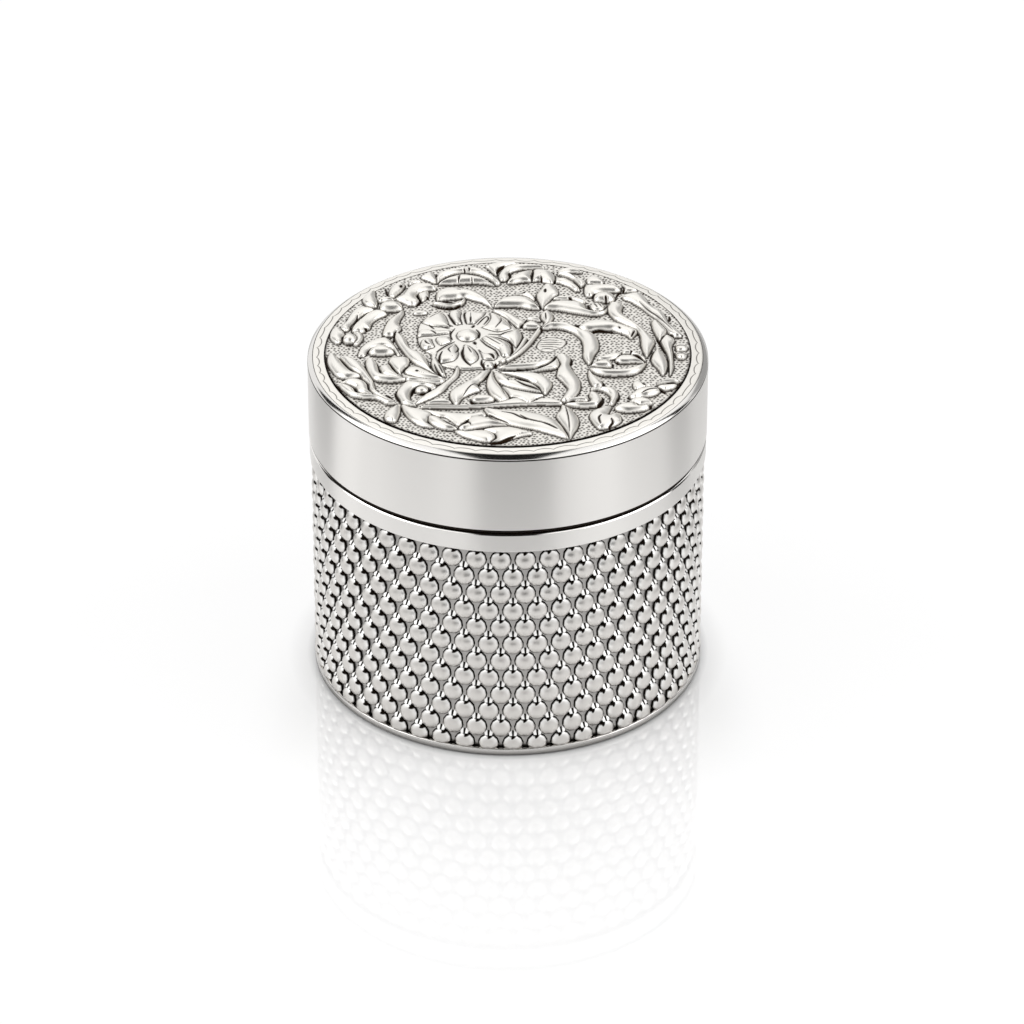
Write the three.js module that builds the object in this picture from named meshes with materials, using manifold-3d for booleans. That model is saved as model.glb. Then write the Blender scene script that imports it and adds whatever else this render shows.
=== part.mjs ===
// Round silver keepsake box with a beaded drum and a lift-off lid that carries a chased floral plaque.
// Lengths are in millimetres, +Z is up and the origin is the centre of the face the box stands on.
import * as THREE from "three";
import { mergeVertices } from "three/addons/utils/BufferGeometryUtils.js";
import Module from "manifold-3d";

const wasm = await Module();
wasm.setup();

// Driving sizes of the whole box
const lidOuterRadius = 38;
const lidSkirtHeight = 15.65;
const drumHeight = 44.55;
const sheetThickness = 0.65;
const bodySetback = 0.1;
const solderGap = 0.05;
const slidingGap = 0.15;
const seamGap = 0.15;
const turnedSides = 60;

// Foot ring and base plate
const footSetback = 0.2;
const footHeight = 1.4;
const footLedgeHeight = 0.9;
const footLedgeWidth = 1.65;
const footEdgeRound = 0.3;
const basePlateThickness = 0.8;

// Drum wall and the beaded sleeve round it
const drumSetback = 0.15;
const drumWallThickness = 0.9;
const drumTuck = 0.65;
const seatClearance = 0.1;
const sleeveThickness = 0.4;
const beadSpacing = 4.6;
const beadRowSpacing = 3.75;
const beadHeight = 1.3;
const beadCrownRadius = 0.95;
const topRowDepth = 2.4;
const bottomRowRise = 0.6;
const beadPhaseDegrees = -2.1;

// Rim band and the collar that guides the lid
const rimHeight = 4.2;
const rimEdgeRound = 0.35;
const rimGrooveDepth = 0.22;
const rimWireHeight = 0.6;
const collarRise = 7.6;

// Lid pieces
const lidBandThickness = 0.9;
const lidLowerEdgeRound = 0.25;
const lidSleeveSetback = 0.3;
const underplateThickness = 0.7;
const edgeWireHeight = 0.75;
const edgeWireLand = 0.2;
const borderWidth = 2.35;
const borderRise = 0.15;
const borderBeadWidth = 1.3;
const borderBeadHeight = 0.8;
const borderLedgeWidth = 1.1;
const borderLedgeHeight = 0.45;
const plaqueThickness = 0.6;
const reliefHeight = 1;
const reliefRoot = 0.25;

// The floral pattern was drawn on squared paper, with this many squares across the plaque.
// The shares below count those squares from the paper's middle, +X right and +Y to the back.
const squaresAcrossShare = 69;
const paperCentreShares = [0, 0.4];

// Leaves and curls: half width, crest as a share of the relief's height, then points along the rib
const leafShares = [
  [1.7, 1, [-2.7, -8.2], [-5.6, -11.8], [-8.2, -15.5], [-9.8, -20.3]],
  [1.1, 0.9, [-2.7, -8.6], [-2.7, -12], [-1.7, -16], [-0.3, -19.2]],
  [1.9, 0.9, [-2.4, -8.8], [0.2, -11.5], [3, -13.8], [6.4, -15.8]],
  [1.1, 1, [-1.5, -8.6], [3, -9.4], [6.6, -11.4], [7.2, -16.4]],
  [1.2, 1.1, [-2, -7], [2.5, -6.8], [6.8, -5.8], [9.3, -2.4]],
  [0.45, 0.6, [-1.4, -5.2], [2, -1.2], [4.6, 3.2], [6.3, 8.2]],
  [0.9, 0.9, [6.9, 8], [8.3, 11], [7.4, 14.8]],
  [1.5, 1.1, [8.3, 9.6], [12.5, 8.6], [15.7, 4.5], [15.4, -0.5], [15, -6]],
  [1.6, 1.1, [13.2, 8.6], [17, 9], [21, 8], [24.6, 5.2]],
  [1.3, 1, [24.2, 6.6], [26.3, 2], [27.2, -2], [26.9, -5.5]],
  [1.1, 0.9, [22.2, 20.6], [24.4, 16.4], [27.2, 12.8], [28.4, 9.4]],
  [1.5, 1, [25.6, 21.6], [27.6, 17], [30.2, 12], [32.2, 6]],
  [1.1, 0.9, [20.8, 17.2], [20.9, 13.6], [23.4, 9.8], [26.4, 6.6]],
  [1.2, 1, [28.2, 12.4], [28.6, 8.6], [29.6, 6], [28.9, 3]],
  [1, 1, [30.4, 5.6], [30.5, 1.5], [30.2, -4], [30.5, -9.8]],
  [1, 0.8, [28.8, 0.4], [27.8, -3.5], [28.6, -9]],
  [1.4, 1.1, [15.2, -6.8], [18.4, -8.8], [22.6, -8.8], [26.4, -4.6]],
  [0.9, 0.9, [20.6, -4], [22.2, -2.2], [24.6, -1.8], [26.2, -4]],
  [1.5, 1, [9, -1.8], [11.2, -3.6], [10.9, -8], [12.4, -12.5], [10.3, -19.4]],
  [1.2, 0.9, [15.3, -7.4], [15.8, -11], [17.3, -14.2]],
  [0.9, 0.9, [15.6, -14.6], [18.8, -14.8], [20.5, -16.8], [19.8, -19.6]],
  [1.1, 0.9, [15.4, -16.6], [16.9, -18.2], [16.6, -21], [14, -21.4]],
  [0.8, 0.8, [10.4, -20], [12.6, -19], [15, -18.6]],
  [0.9, 0.8, [10.2, -20.6], [13, -21.3], [17.2, -20.8]],
  [1.4, 1, [22.2, -18.8], [24.8, -16], [29, -14.6]],
  [1, 1, [27.4, -13.6], [29.8, -11.9], [33, -12.5]],
  [0.9, 0.9, [27.6, -13.8], [30.2, -14.2], [32.6, -13]],
  [1.8, 1.1, [19.2, -22.8], [22.6, -20.6], [27.2, -21.2]],
  [1.3, 0.9, [18.2, -22], [16.4, -25.4], [17.4, -29.6]],
  [0.9, 0.9, [19.2, -23.4], [21.4, -25.4], [20.7, -28.4]],
  [1.8, 1.1, [10.2, -20.8], [11.1, -24], [12, -28.2], [11.4, -32.6]],
  [2.3, 1.1, [-4.2, -22], [1.2, -25.4], [6.2, -28.4], [11.1, -32.8]],
  [0.6, 0.7, [-16, -21.4], [-8, -21.4], [0, -20.7], [9.6, -20.2]],
  [0.9, 0.8, [-15, -20.2], [-12.4, -19.2], [-10.3, -20.4]],
  [0.8, 0.8, [0.2, -18.4], [2.2, -18.8], [3.9, -20.4]],
  [0.9, 0.8, [3.9, -20.2], [6.8, -18.9], [9.6, -19.8]],
  [0.7, 0.8, [-9.6, -6.8], [-10.8, -12], [-14, -16.6], [-17.2, -20.6]],
  [1.3, 1, [-11, -10.6], [-15, -12.6], [-19.6, -14], [-19.6, -18], [-16.6, -22.6], [-13.4, -24.6]],
  [0.6, 0.8, [-18, -18.6], [-18, -15.6], [-16, -14.2], [-14.9, -15.4], [-15.9, -16.6]],
  [1.3, 1, [-20.3, -20.6], [-22, -24], [-21.7, -28]],
  [1.3, 1, [-19.8, -20.6], [-18.2, -24.4], [-14.2, -28.6]],
  [1.1, 0.9, [-14, -25.6], [-12.4, -28.2], [-9.4, -29.4]],
  [1.2, 0.9, [-8.6, -29.6], [-7, -26.6], [-3.6, -26.2], [-0.6, -28.4]],
  [1.1, 1, [-10, -29.8], [-8.2, -32.4], [-3.8, -34.4]],
  [1.3, 1, [-20.2, -8], [-17, -8.6], [-11.8, -11]],
  [0.9, 0.8, [-20.4, -3.2], [-21, -6.6], [-18.8, -10.4], [-14.6, -11.8], [-11.2, -10.9]],
  [1.3, 1.1, [-21.3, 8], [-20.3, 3], [-18.2, -1.4], [-14.6, -5.6], [-12.2, -10.6]],
  [1.4, 0.9, [-23.2, 4.8], [-22.6, 9.2], [-20.2, 14.6]],
  [1.4, 1, [-33.2, -1.6], [-32.6, -6.4], [-30.4, -10.2], [-27.6, -10.4]],
  [1.3, 1, [-30.2, -3], [-28.4, -7.2], [-26, -11.6], [-24.4, -15.6], [-20.4, -20.2]],
  [1.5, 0.9, [-31.8, -12.6], [-28.8, -12.8], [-26.8, -14.4], [-25.6, -17]],
  [1.1, 1, [-31.9, -13.8], [-29.4, -17], [-25.8, -17.8], [-21, -20.2]],
  [1.1, 0.9, [-26, -3.8], [-25.8, -7.4], [-23.8, -11], [-18.8, -10.9]],
  [1, 0.8, [-21.2, -3.2], [-21.9, -6], [-20.6, -9.4]],
  [1.5, 1, [-28.4, 7], [-27.2, 11.2], [-23.2, 14.2]],
  [1.1, 0.9, [-31, 8.6], [-29.8, 13], [-26, 15.6]],
  [0.9, 0.9, [-33.6, 3.4], [-33.4, 6.8], [-31.2, 9.4]],
  [0.6, 0.7, [-28.2, -2.6], [-27.4, 1.6], [-24.6, 3.4], [-21.2, 0], [-20, -4]],
  [1.2, 1, [-25.8, 16.2], [-27, 19.6], [-25, 24.6]],
  [1.1, 0.9, [-22.3, 19.8], [-22.2, 23], [-19.6, 26.8]],
  [1.3, 0.9, [-20.4, 19.4], [-18.6, 22.6], [-14.2, 24.2]],
  [1.1, 0.9, [-20.6, 18.6], [-18.6, 18.4], [-17.6, 16.2]],
  [1.8, 1.2, [-3.4, 15.4], [-5.4, 19.2], [-9.4, 21], [-13.6, 19]],
  [0.55, 0.9, [-14, 18.4], [-13, 16.9], [-11, 16.4], [-9, 17.2], [-8.2, 19.6]],
  [1.8, 1.2, [-13.4, 25], [-8.2, 27.4], [-2.6, 24.8]],
  [1.1, 0.9, [-14, 25.4], [-12.6, 29.6], [-7, 31.2], [-1.2, 24.6]],
  [1.2, 0.8, [-16.4, 29.8], [-16.2, 27], [-13.8, 25.4]],
  [1.8, 1.2, [-2.5, 16.6], [1.6, 18.4], [6.5, 15.2]],
  [1.4, 1, [8.2, 25.6], [8.2, 22], [6.7, 15.6]],
  [1.8, 1.1, [-0.4, 25.4], [1.8, 28], [5, 28.8]],
  [1.9, 1.1, [4.8, 29.2], [7.6, 28.6], [9.3, 25.4]],
  [0.9, 0.8, [-0.6, 31], [2.8, 32.2], [6.6, 31.6]],
  [0.8, 0.8, [-3.8, 32.4], [-3, 29.4], [-1.4, 25]],
  [0.9, 0.8, [0, 21.4], [2.8, 21.6], [5.6, 17.6]],
  [1.8, 1.2, [6.9, 15.3], [11.4, 17], [16, 14.6]],
  [0.55, 0.9, [13.4, 13.9], [16.4, 13.4], [18.6, 14.4], [19, 16.8]],
  [1, 0.9, [9.4, 28], [12, 25.8], [14.4, 21.6]],
  [0.8, 0.8, [12.6, 29.4], [14, 27.4], [15.2, 25.2]],
  [0.9, 0.8, [10, 30.2], [12.4, 31], [14.8, 30.2]],
  [1.4, 1, [15, 21], [16.4, 23.8], [22, 23.8]],
  [0.9, 0.9, [22, 21.6], [23.6, 22.8], [25.4, 22.4]],
];

// Buds and berries: half width, half depth, crest share, then the centre
const bossShares = [
  [2.3, 2.3, 1.5, -7.7, 4.2],
  [1.7, 1.1, 1, 4.9, 9.2],
  [1.5, 1, 0.9, 5.2, 11.4],
  [2.4, 1.6, 1.2, -23.9, -0.8],
  [1.5, 1.5, 1.1, -30.2, 3.8],
  [2.4, 1.8, 1.2, -22.3, 16.2],
  [1.5, 0.8, 1, -23.4, 19],
  [1.9, 1.7, 1.2, 18.7, 19.6],
  [2, 1.5, 1.1, 18, -5.4],
  [2, 1.2, 1, -4.7, -18.8],
  [1.5, 1, 1, 33, 0.7],
  [1.5, 0.9, 1, 33, -1.5],
  [2, 1.6, 0.9, -4.8, -31.6],
  [1.2, 1, 0.9, 17.6, 26.6],
  [1, 0.7, 0.8, -17, 13.9],
];

// Rosette: its centre, then the petals' direction in degrees, inner and outer reach, half width, crest
const rosetteCentreShares = [-7.7, 4.2];
const petalShares = [
  [112, 2.2, 10.2, 2.6, 1],
  [78, 2.2, 10.4, 2.4, 1],
  [38, 2.4, 9.8, 3, 1.1],
  [350, 2.4, 11, 2.8, 1.1],
  [312, 2.4, 11, 2.8, 1],
  [272, 2.2, 10.4, 2.4, 1],
  [243, 2.2, 10.2, 2.6, 1],
  [200, 2.4, 8.6, 2.4, 0.9],
  [170, 2.4, 8.4, 2.2, 0.9],
  [142, 2.4, 9.4, 2.8, 0.9],
];

// Levels, from the standing face up
const basePlateBottom = footLedgeHeight + solderGap;
const basePlateTop = basePlateBottom + basePlateThickness;
const drumBottom = basePlateTop + solderGap;
const drumTop = drumBottom + drumHeight;
const rimBottom = drumTop - drumTuck;
const rimTop = rimBottom + rimHeight;
const collarBottom = drumTop + solderGap;
const collarTop = rimTop + collarRise;
const sleeveBottom = footHeight + solderGap;
const sleeveTop = rimBottom - solderGap;
const lidBottom = rimTop + seamGap;
const lidBandTop = lidBottom + lidSkirtHeight;
const lidTopSeat = lidBandTop + solderGap;
const lidTopEdge = lidTopSeat + edgeWireHeight;

// Radii, from the outside in
const lidBandInnerRadius = lidOuterRadius - lidBandThickness;
const lidSleeveOuterRadius = lidBandInnerRadius - solderGap;
const lidSleeveInnerRadius = lidSleeveOuterRadius - sheetThickness;
const collarOuterRadius = lidSleeveInnerRadius - slidingGap;
const collarInnerRadius = collarOuterRadius - sheetThickness;
const rimOuterRadius = lidOuterRadius - bodySetback;
const rimInnerRadius = collarOuterRadius + solderGap;
const drumOuterRadius = collarOuterRadius - drumSetback;
const drumInnerRadius = drumOuterRadius - drumWallThickness;
const sleeveInnerRadius = drumOuterRadius + seatClearance;
const sleeveOuterRadius = sleeveInnerRadius + sleeveThickness;
const beadCrestRadius = sleeveOuterRadius + beadHeight;
const footOuterRadius = rimOuterRadius - footSetback;
const footRimInnerRadius = drumOuterRadius + solderGap;
const edgeWireInnerRadius = lidOuterRadius - edgeWireHeight - edgeWireLand;
const borderOuterRadius = edgeWireInnerRadius - solderGap;
const borderInnerRadius = borderOuterRadius - borderWidth;
const plaqueRadius = borderInnerRadius - seatClearance;

// Materials by finish
const polishedSilver = { color: 0xe9e8e4, roughness: 0.12, metalness: 1 };
const chasedSilver = { color: 0xdedcd6, roughness: 0.3, metalness: 1 };
const satinSilver = { color: 0xd8d6cf, roughness: 0.45, metalness: 1 };

const box = new THREE.Group();

function addPiece(name, geometry, finish) {
  const piece = new THREE.Mesh(geometry, new THREE.MeshStandardMaterial(finish));
  piece.name = name;
  box.add(piece);
  return piece;
}

// A piece turned about the box's axis from [radius, height] points listed anticlockwise.
function turned(profile) {
  const points = profile.map(([radius, height]) => new THREE.Vector2(radius, height));
  const onAxis = profile[0][0] === 0;
  if (!onAxis) points.push(points[0].clone());
  const geometry = new THREE.LatheGeometry(points, turnedSides);
  geometry.rotateX(Math.PI / 2);
  return geometry;
}

// Points of a quarter round about a centre, between two angles given in quarter turns
function quarterRound(radius, height, size, fromQuarter, steps) {
  const points = [];
  for (let i = 0; i <= steps; i += 1) {
    const angle = (fromQuarter + i / steps) * (Math.PI / 2);
    points.push([radius + size * Math.cos(angle), height + size * Math.sin(angle)]);
  }
  return points;
}

// A square-edged ring or a plain disc
function ringProfile(innerRadius, outerRadius, bottom, top) {
  return [
    [innerRadius, bottom],
    [outerRadius, bottom],
    [outerRadius, top],
    [innerRadius, top],
  ];
}

// Foot ring: a rolled ring whose inner ledge holds the base plate
function footRing() {
  const ledgeInnerRadius = footRimInnerRadius - footLedgeWidth;
  return turned([
    [ledgeInnerRadius, 0],
    ...quarterRound(footOuterRadius - footEdgeRound, footEdgeRound, footEdgeRound, -1, 1),
    ...quarterRound(footOuterRadius - footEdgeRound, footHeight - footEdgeRound, footEdgeRound, 0, 2),
    [footRimInnerRadius, footHeight],
    [footRimInnerRadius, footLedgeHeight],
    [ledgeInnerRadius, footLedgeHeight],
  ]);
}

// Beaded sleeve: one stamped sheet whose staggered cells each rise to a bead
function beadedSleeve() {
  const beadsPerRow = Math.round((2 * Math.PI * sleeveOuterRadius) / beadSpacing);
  const columns = 2 * beadsPerRow;
  const halfStep = (2 * Math.PI) / columns;
  const phase = THREE.MathUtils.degToRad(beadPhaseDegrees) - Math.PI / 2;
  const topRowHeight = sleeveTop - topRowDepth;
  const rowsSpan = topRowHeight - sleeveBottom - bottomRowRise;
  const rowGaps = Math.round(rowsSpan / beadRowSpacing);
  const beadRows = rowGaps + 1;
  const beadRowPitch = rowsSpan / rowGaps;
  const cellShoulder = beadRowPitch / 3;
  const positions = [];
  const indices = [];
  const addPoint = (radius, angle, height) => {
    positions.push(radius * Math.cos(angle), radius * Math.sin(angle), height);
    return positions.length / 3 - 1;
  };

  // Boundary rings of the rows, zigzag between two rows and level at both ends of the sleeve
  const boundaries = [];
  for (let row = 0; row <= beadRows; row += 1) {
    const ring = [];
    for (let half = 0; half < columns; half += 1) {
      const levelAbove = topRowHeight - (row - 1) * beadRowPitch;
      const underBead = (half + row) % 2 === 1;
      let height = levelAbove - cellShoulder * (underBead ? 2 : 1);
      if (row === 0) height = sleeveTop;
      if (row === beadRows) height = sleeveBottom;
      ring.push(addPoint(sleeveOuterRadius, phase + half * halfStep, height));
    }
    boundaries.push(ring);
  }

  // Each bead rises from its six-sided cell to a three-cornered crown
  for (let row = 0; row < beadRows; row += 1) {
    const centreHeight = topRowHeight - row * beadRowPitch;
    for (let column = 0; column < beadsPerRow; column += 1) {
      const half = 2 * column + (row % 2);
      const upper = boundaries[row];
      const lower = boundaries[row + 1];
      const before = (half + columns - 1) % columns;
      const after = (half + 1) % columns;
      const centre = half % columns;
      const cell = [upper[centre], upper[before], lower[before], lower[centre], lower[after], upper[after]];
      const crown = [0, 1, 2].map((corner) => {
        const turn = Math.PI / 2 + (corner * 2 * Math.PI) / 3;
        const angle = phase + half * halfStep + (beadCrownRadius * Math.cos(turn)) / beadCrestRadius;
        return addPoint(beadCrestRadius, angle, centreHeight + beadCrownRadius * Math.sin(turn));
      });
      for (let corner = 0; corner < 3; corner += 1) {
        const next = (corner + 1) % 3;
        const start = cell[2 * corner];
        const middle = cell[2 * corner + 1];
        const end = cell[(2 * corner + 2) % 6];
        indices.push(crown[corner], start, middle);
        indices.push(crown[corner], middle, crown[next]);
        indices.push(crown[next], middle, end);
      }
      indices.push(...crown);
    }
  }

  // Smooth bore and the two level edges
  const boreTop = [];
  const boreBottom = [];
  for (let half = 0; half < columns; half += 1) {
    boreTop.push(addPoint(sleeveInnerRadius, phase + half * halfStep, sleeveTop));
    boreBottom.push(addPoint(sleeveInnerRadius, phase + half * halfStep, sleeveBottom));
  }
  const addStrip = (first, second) => {
    for (let half = 0; half < columns; half += 1) {
      const next = (half + 1) % columns;
      indices.push(first[half], first[next], second[half]);
      indices.push(second[half], first[next], second[next]);
    }
  };
  addStrip(boundaries[0], boreTop);
  addStrip(boreTop, boreBottom);
  addStrip(boreBottom, boundaries[beadRows]);
  const geometry = new THREE.BufferGeometry();
  geometry.setAttribute("position", new THREE.Float32BufferAttribute(positions, 3));
  geometry.setIndex(indices);
  return geometry;
}

// Rim band: a plain applied band with a fine wire turned along its upper edge
function rimBand() {
  const wireBottom = rimTop - rimWireHeight;
  const wireRadius = rimWireHeight / 2;
  const grooveRadius = rimOuterRadius - rimGrooveDepth;
  return turned([
    [rimInnerRadius, rimBottom],
    ...quarterRound(rimOuterRadius - rimEdgeRound, rimBottom + rimEdgeRound, rimEdgeRound, -1, 2),
    [rimOuterRadius, wireBottom - rimGrooveDepth],
    [grooveRadius, wireBottom],
    [rimOuterRadius, wireBottom + rimGrooveDepth],
    ...quarterRound(rimOuterRadius - wireRadius, rimTop - wireRadius, wireRadius, 0, 2),
    [rimInnerRadius, rimTop],
  ]);
}

// Lid band: the plain polished side of the lid
function lidBand() {
  const edgeCentre = lidOuterRadius - lidLowerEdgeRound;
  return turned([
    [lidBandInnerRadius, lidBottom],
    ...quarterRound(edgeCentre, lidBottom + lidLowerEdgeRound, lidLowerEdgeRound, -1, 2),
    [lidOuterRadius, lidBandTop],
    [lidBandInnerRadius, lidBandTop],
  ]);
}

// Edge wire: rounds the lid's upper edge
function lidEdgeWire() {
  return turned([
    [edgeWireInnerRadius, lidTopSeat],
    ...quarterRound(lidOuterRadius - edgeWireHeight, lidTopSeat, edgeWireHeight, 0, 4),
    [edgeWireInnerRadius, lidTopEdge],
  ]);
}

// Border: a sloping margin and a half round bead that frames the plaque, with a ledge under it
function lidBorder() {
  const ledgeInnerRadius = borderInnerRadius - borderLedgeWidth;
  const marginTop = lidTopEdge + borderRise;
  const beadCentre = borderInnerRadius + borderBeadWidth / 2;
  const bead = [];
  const beadSteps = 6;
  for (let i = 0; i <= beadSteps; i += 1) {
    const angle = (i / beadSteps) * Math.PI;
    const radius = beadCentre + (borderBeadWidth / 2) * Math.cos(angle);
    bead.push([radius, marginTop + borderBeadHeight * Math.sin(angle)]);
  }
  return turned([
    [ledgeInnerRadius, lidTopSeat],
    [borderOuterRadius, lidTopSeat],
    [borderOuterRadius, lidTopEdge],
    ...bead,
    [borderInnerRadius, lidTopSeat + borderLedgeHeight],
    [ledgeInnerRadius, lidTopSeat + borderLedgeHeight],
  ]);
}

// A closed geometry as a solid that can be joined or cut
function solidFrom(geometry) {
  const bare = geometry.clone();
  bare.deleteAttribute("normal");
  bare.deleteAttribute("uv");
  const merged = mergeVertices(bare);
  const vertProperties = merged.getAttribute("position").array;
  const triVerts = new Uint32Array(merged.index.array);
  return new wasm.Manifold(new wasm.Mesh({ numProp: 3, vertProperties, triVerts }));
}

// A joined or cut solid as a geometry again
function geometryFrom(solid) {
  const mesh = solid.getMesh();
  const geometry = new THREE.BufferGeometry();
  geometry.setAttribute("position", new THREE.BufferAttribute(mesh.vertProperties, 3));
  geometry.setIndex(new THREE.BufferAttribute(mesh.triVerts, 1));
  return geometry;
}

// A leaf: a ridge along a curve, pointed at both ends, whose root lies under the ground
function leafSolid(halfWidth, crest, points, ground) {
  const rib = new THREE.SplineCurve(points.map(([x, y]) => new THREE.Vector2(x, y)));
  const stationShares = [0, 0.22, 0.5, 0.78, 1];
  const fullness = 0.7;
  const positions = [];
  const indices = [];
  const addPoint = (x, y, z) => {
    positions.push(x, y, z);
    return positions.length / 3 - 1;
  };
  const rootHalfWidth = (halfWidth * (crest + reliefRoot)) / crest;
  const stations = stationShares.map((share) => {
    const middle = rib.getPoint(share);
    const width = rootHalfWidth * Math.sin(Math.PI * share) ** fullness;
    if (share === 0 || share === 1) {
      const tip = addPoint(middle.x, middle.y, ground - reliefRoot);
      return [tip, tip, tip];
    }
    const along = rib.getTangent(share);
    const left = addPoint(middle.x - along.y * width, middle.y + along.x * width, ground - reliefRoot);
    const top = addPoint(middle.x, middle.y, ground + crest);
    const right = addPoint(middle.x + along.y * width, middle.y - along.x * width, ground - reliefRoot);
    return [left, top, right];
  });
  const addFace = (a, b, c, d) => {
    if (a !== b && b !== c && c !== a) indices.push(a, b, c);
    if (a !== c && c !== d && d !== a) indices.push(a, c, d);
  };
  for (let i = 0; i + 1 < stations.length; i += 1) {
    const [left, top, right] = stations[i];
    const [nextLeft, nextTop, nextRight] = stations[i + 1];
    addFace(left, top, nextTop, nextLeft);
    addFace(right, nextRight, nextTop, top);
    addFace(left, nextLeft, nextRight, right);
  }
  const geometry = new THREE.BufferGeometry();
  geometry.setAttribute("position", new THREE.Float32BufferAttribute(positions, 3));
  geometry.setIndex(indices);
  return solidFrom(geometry);
}

// A bud or berry: a low dome of eight sides with a short root
function bossSolid(halfWidth, halfDepth, crest, x, y, ground) {
  const rootShare = 0.3;
  const domeShares = [
    [0, -rootShare],
    [1, -rootShare],
    [0.93, 0.36],
    [0.62, 0.78],
    [0, 1],
  ];
  const points = domeShares.map(([radius, height]) => new THREE.Vector2(radius, height));
  const dome = new THREE.LatheGeometry(points, 8);
  dome.rotateX(Math.PI / 2);
  dome.scale(halfWidth, halfDepth, crest);
  dome.translate(x, y, ground);
  return solidFrom(dome);
}

// Plaque: the disc that carries the chased relief, all of one sheet
function lidPlaque() {
  const bottom = lidTopSeat + borderLedgeHeight + solderGap;
  const ground = bottom + plaqueThickness;
  const square = (2 * plaqueRadius) / squaresAcrossShare;
  const place = ([x, y]) => [(x + paperCentreShares[0]) * square, (y + paperCentreShares[1]) * square];
  const motifs = leafShares.map(([width, crest, ...points]) =>
    leafSolid(width * square, crest * reliefHeight, points.map(place), ground),
  );
  const [rosetteX, rosetteY] = rosetteCentreShares;
  for (const [degrees, inner, outer, width, crest] of petalShares) {
    const angle = THREE.MathUtils.degToRad(degrees);
    const reaches = [inner, (inner + outer) / 2, outer];
    const points = reaches.map((reach) => [
      rosetteX + reach * Math.cos(angle),
      rosetteY + reach * Math.sin(angle),
    ]);
    motifs.push(leafSolid(width * square, crest * reliefHeight, points.map(place), ground));
  }
  for (const [width, depth, crest, x, y] of bossShares) {
    const [placedX, placedY] = place([x, y]);
    const height = crest * reliefHeight;
    motifs.push(bossSolid(width * square, depth * square, height, placedX, placedY, ground));
  }
  const relief = motifs.reduce((joined, motif) => joined.add(motif));
  const disc = (top) =>
    solidFrom(
      turned([
        [0, bottom],
        [plaqueRadius, bottom],
        [plaqueRadius, top],
        [0, top],
      ]),
    );
  const inField = relief.intersect(disc(ground + 2 * reliefHeight));
  return geometryFrom(disc(ground).add(inField));
}

addPiece("foot_ring", footRing(), polishedSilver);
addPiece(
  "base_plate",
  turned([
    [0, basePlateBottom],
    [footRimInnerRadius - solderGap, basePlateBottom],
    [footRimInnerRadius - solderGap, basePlateTop],
    [0, basePlateTop],
  ]),
  satinSilver,
);
addPiece(
  "drum_wall",
  turned(ringProfile(drumInnerRadius, drumOuterRadius, drumBottom, drumTop)),
  satinSilver,
);
addPiece("beaded_sleeve", beadedSleeve(), polishedSilver);
addPiece("rim_band", rimBand(), polishedSilver);
addPiece(
  "collar",
  turned(ringProfile(collarInnerRadius, collarOuterRadius, collarBottom, collarTop)),
  satinSilver,
);

addPiece("lid_band", lidBand(), polishedSilver);
addPiece(
  "lid_inner_sleeve",
  turned(ringProfile(lidSleeveInnerRadius, lidSleeveOuterRadius, lidBottom + lidSleeveSetback, lidBandTop)),
  satinSilver,
);
addPiece(
  "lid_underplate",
  turned([
    [0, lidBandTop - underplateThickness],
    [lidSleeveInnerRadius - solderGap, lidBandTop - underplateThickness],
    [lidSleeveInnerRadius - solderGap, lidBandTop],
    [0, lidBandTop],
  ]),
  satinSilver,
);
addPiece("lid_edge_wire", lidEdgeWire(), polishedSilver);
addPiece("lid_border", lidBorder(), polishedSilver);
addPiece("lid_plaque", lidPlaque(), chasedSilver);

export default box;
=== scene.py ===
# A round silver keepsake box: a beaded drum on a foot ring, and a lift-off lid with a chased
# floral plaque. Lengths are written in millimetres and turned to metres where a mesh is made.
import math

import bpy
import numpy as np
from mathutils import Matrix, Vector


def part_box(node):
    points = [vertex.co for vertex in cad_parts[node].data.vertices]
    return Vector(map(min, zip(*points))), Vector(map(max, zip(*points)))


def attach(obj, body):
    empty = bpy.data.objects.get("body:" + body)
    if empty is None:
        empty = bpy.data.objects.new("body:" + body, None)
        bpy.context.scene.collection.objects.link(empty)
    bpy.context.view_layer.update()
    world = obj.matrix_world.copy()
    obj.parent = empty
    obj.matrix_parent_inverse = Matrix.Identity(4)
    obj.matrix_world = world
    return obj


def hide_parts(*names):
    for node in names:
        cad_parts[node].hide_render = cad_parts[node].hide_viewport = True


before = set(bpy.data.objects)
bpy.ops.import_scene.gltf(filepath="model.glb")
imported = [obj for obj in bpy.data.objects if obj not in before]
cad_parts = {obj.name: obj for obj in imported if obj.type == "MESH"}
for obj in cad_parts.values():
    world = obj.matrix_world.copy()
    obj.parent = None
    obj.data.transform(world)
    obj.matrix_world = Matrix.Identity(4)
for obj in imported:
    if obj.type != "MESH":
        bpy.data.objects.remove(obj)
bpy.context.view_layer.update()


# Foot ring. The box stands on a rolled silver ring soldered under the drum, polished with rouge
# until it mirrors the table. It is turned from one profile, whose edges are softly rounded.
def colour(hex_value):
    """An sRGB hex colour as linear RGBA."""
    parts = [int(hex_value[i : i + 2], 16) / 255 for i in (1, 3, 5)]
    linear = [c / 12.92 if c <= 0.04045 else ((c + 0.055) / 1.055) ** 2.4 for c in parts]
    return (*linear, 1)


def add_node(tree, kind, inputs=None, **settings):
    """Adds a node with its settings; an input takes a value, a socket, or a node's first output."""
    node = tree.nodes.new(kind)
    for name, value in settings.items():
        setattr(node, name, value)
    for name, value in (inputs or {}).items():
        value = value.outputs[0] if isinstance(value, bpy.types.Node) else value
        if isinstance(value, bpy.types.NodeSocket):
            tree.links.new(value, node.inputs[name])
        else:
            node.inputs[name].default_value = value
    return node


def new_material(name):
    material = bpy.data.materials.new(name)
    material.use_nodes = True
    material.node_tree.nodes.clear()
    return material


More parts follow.
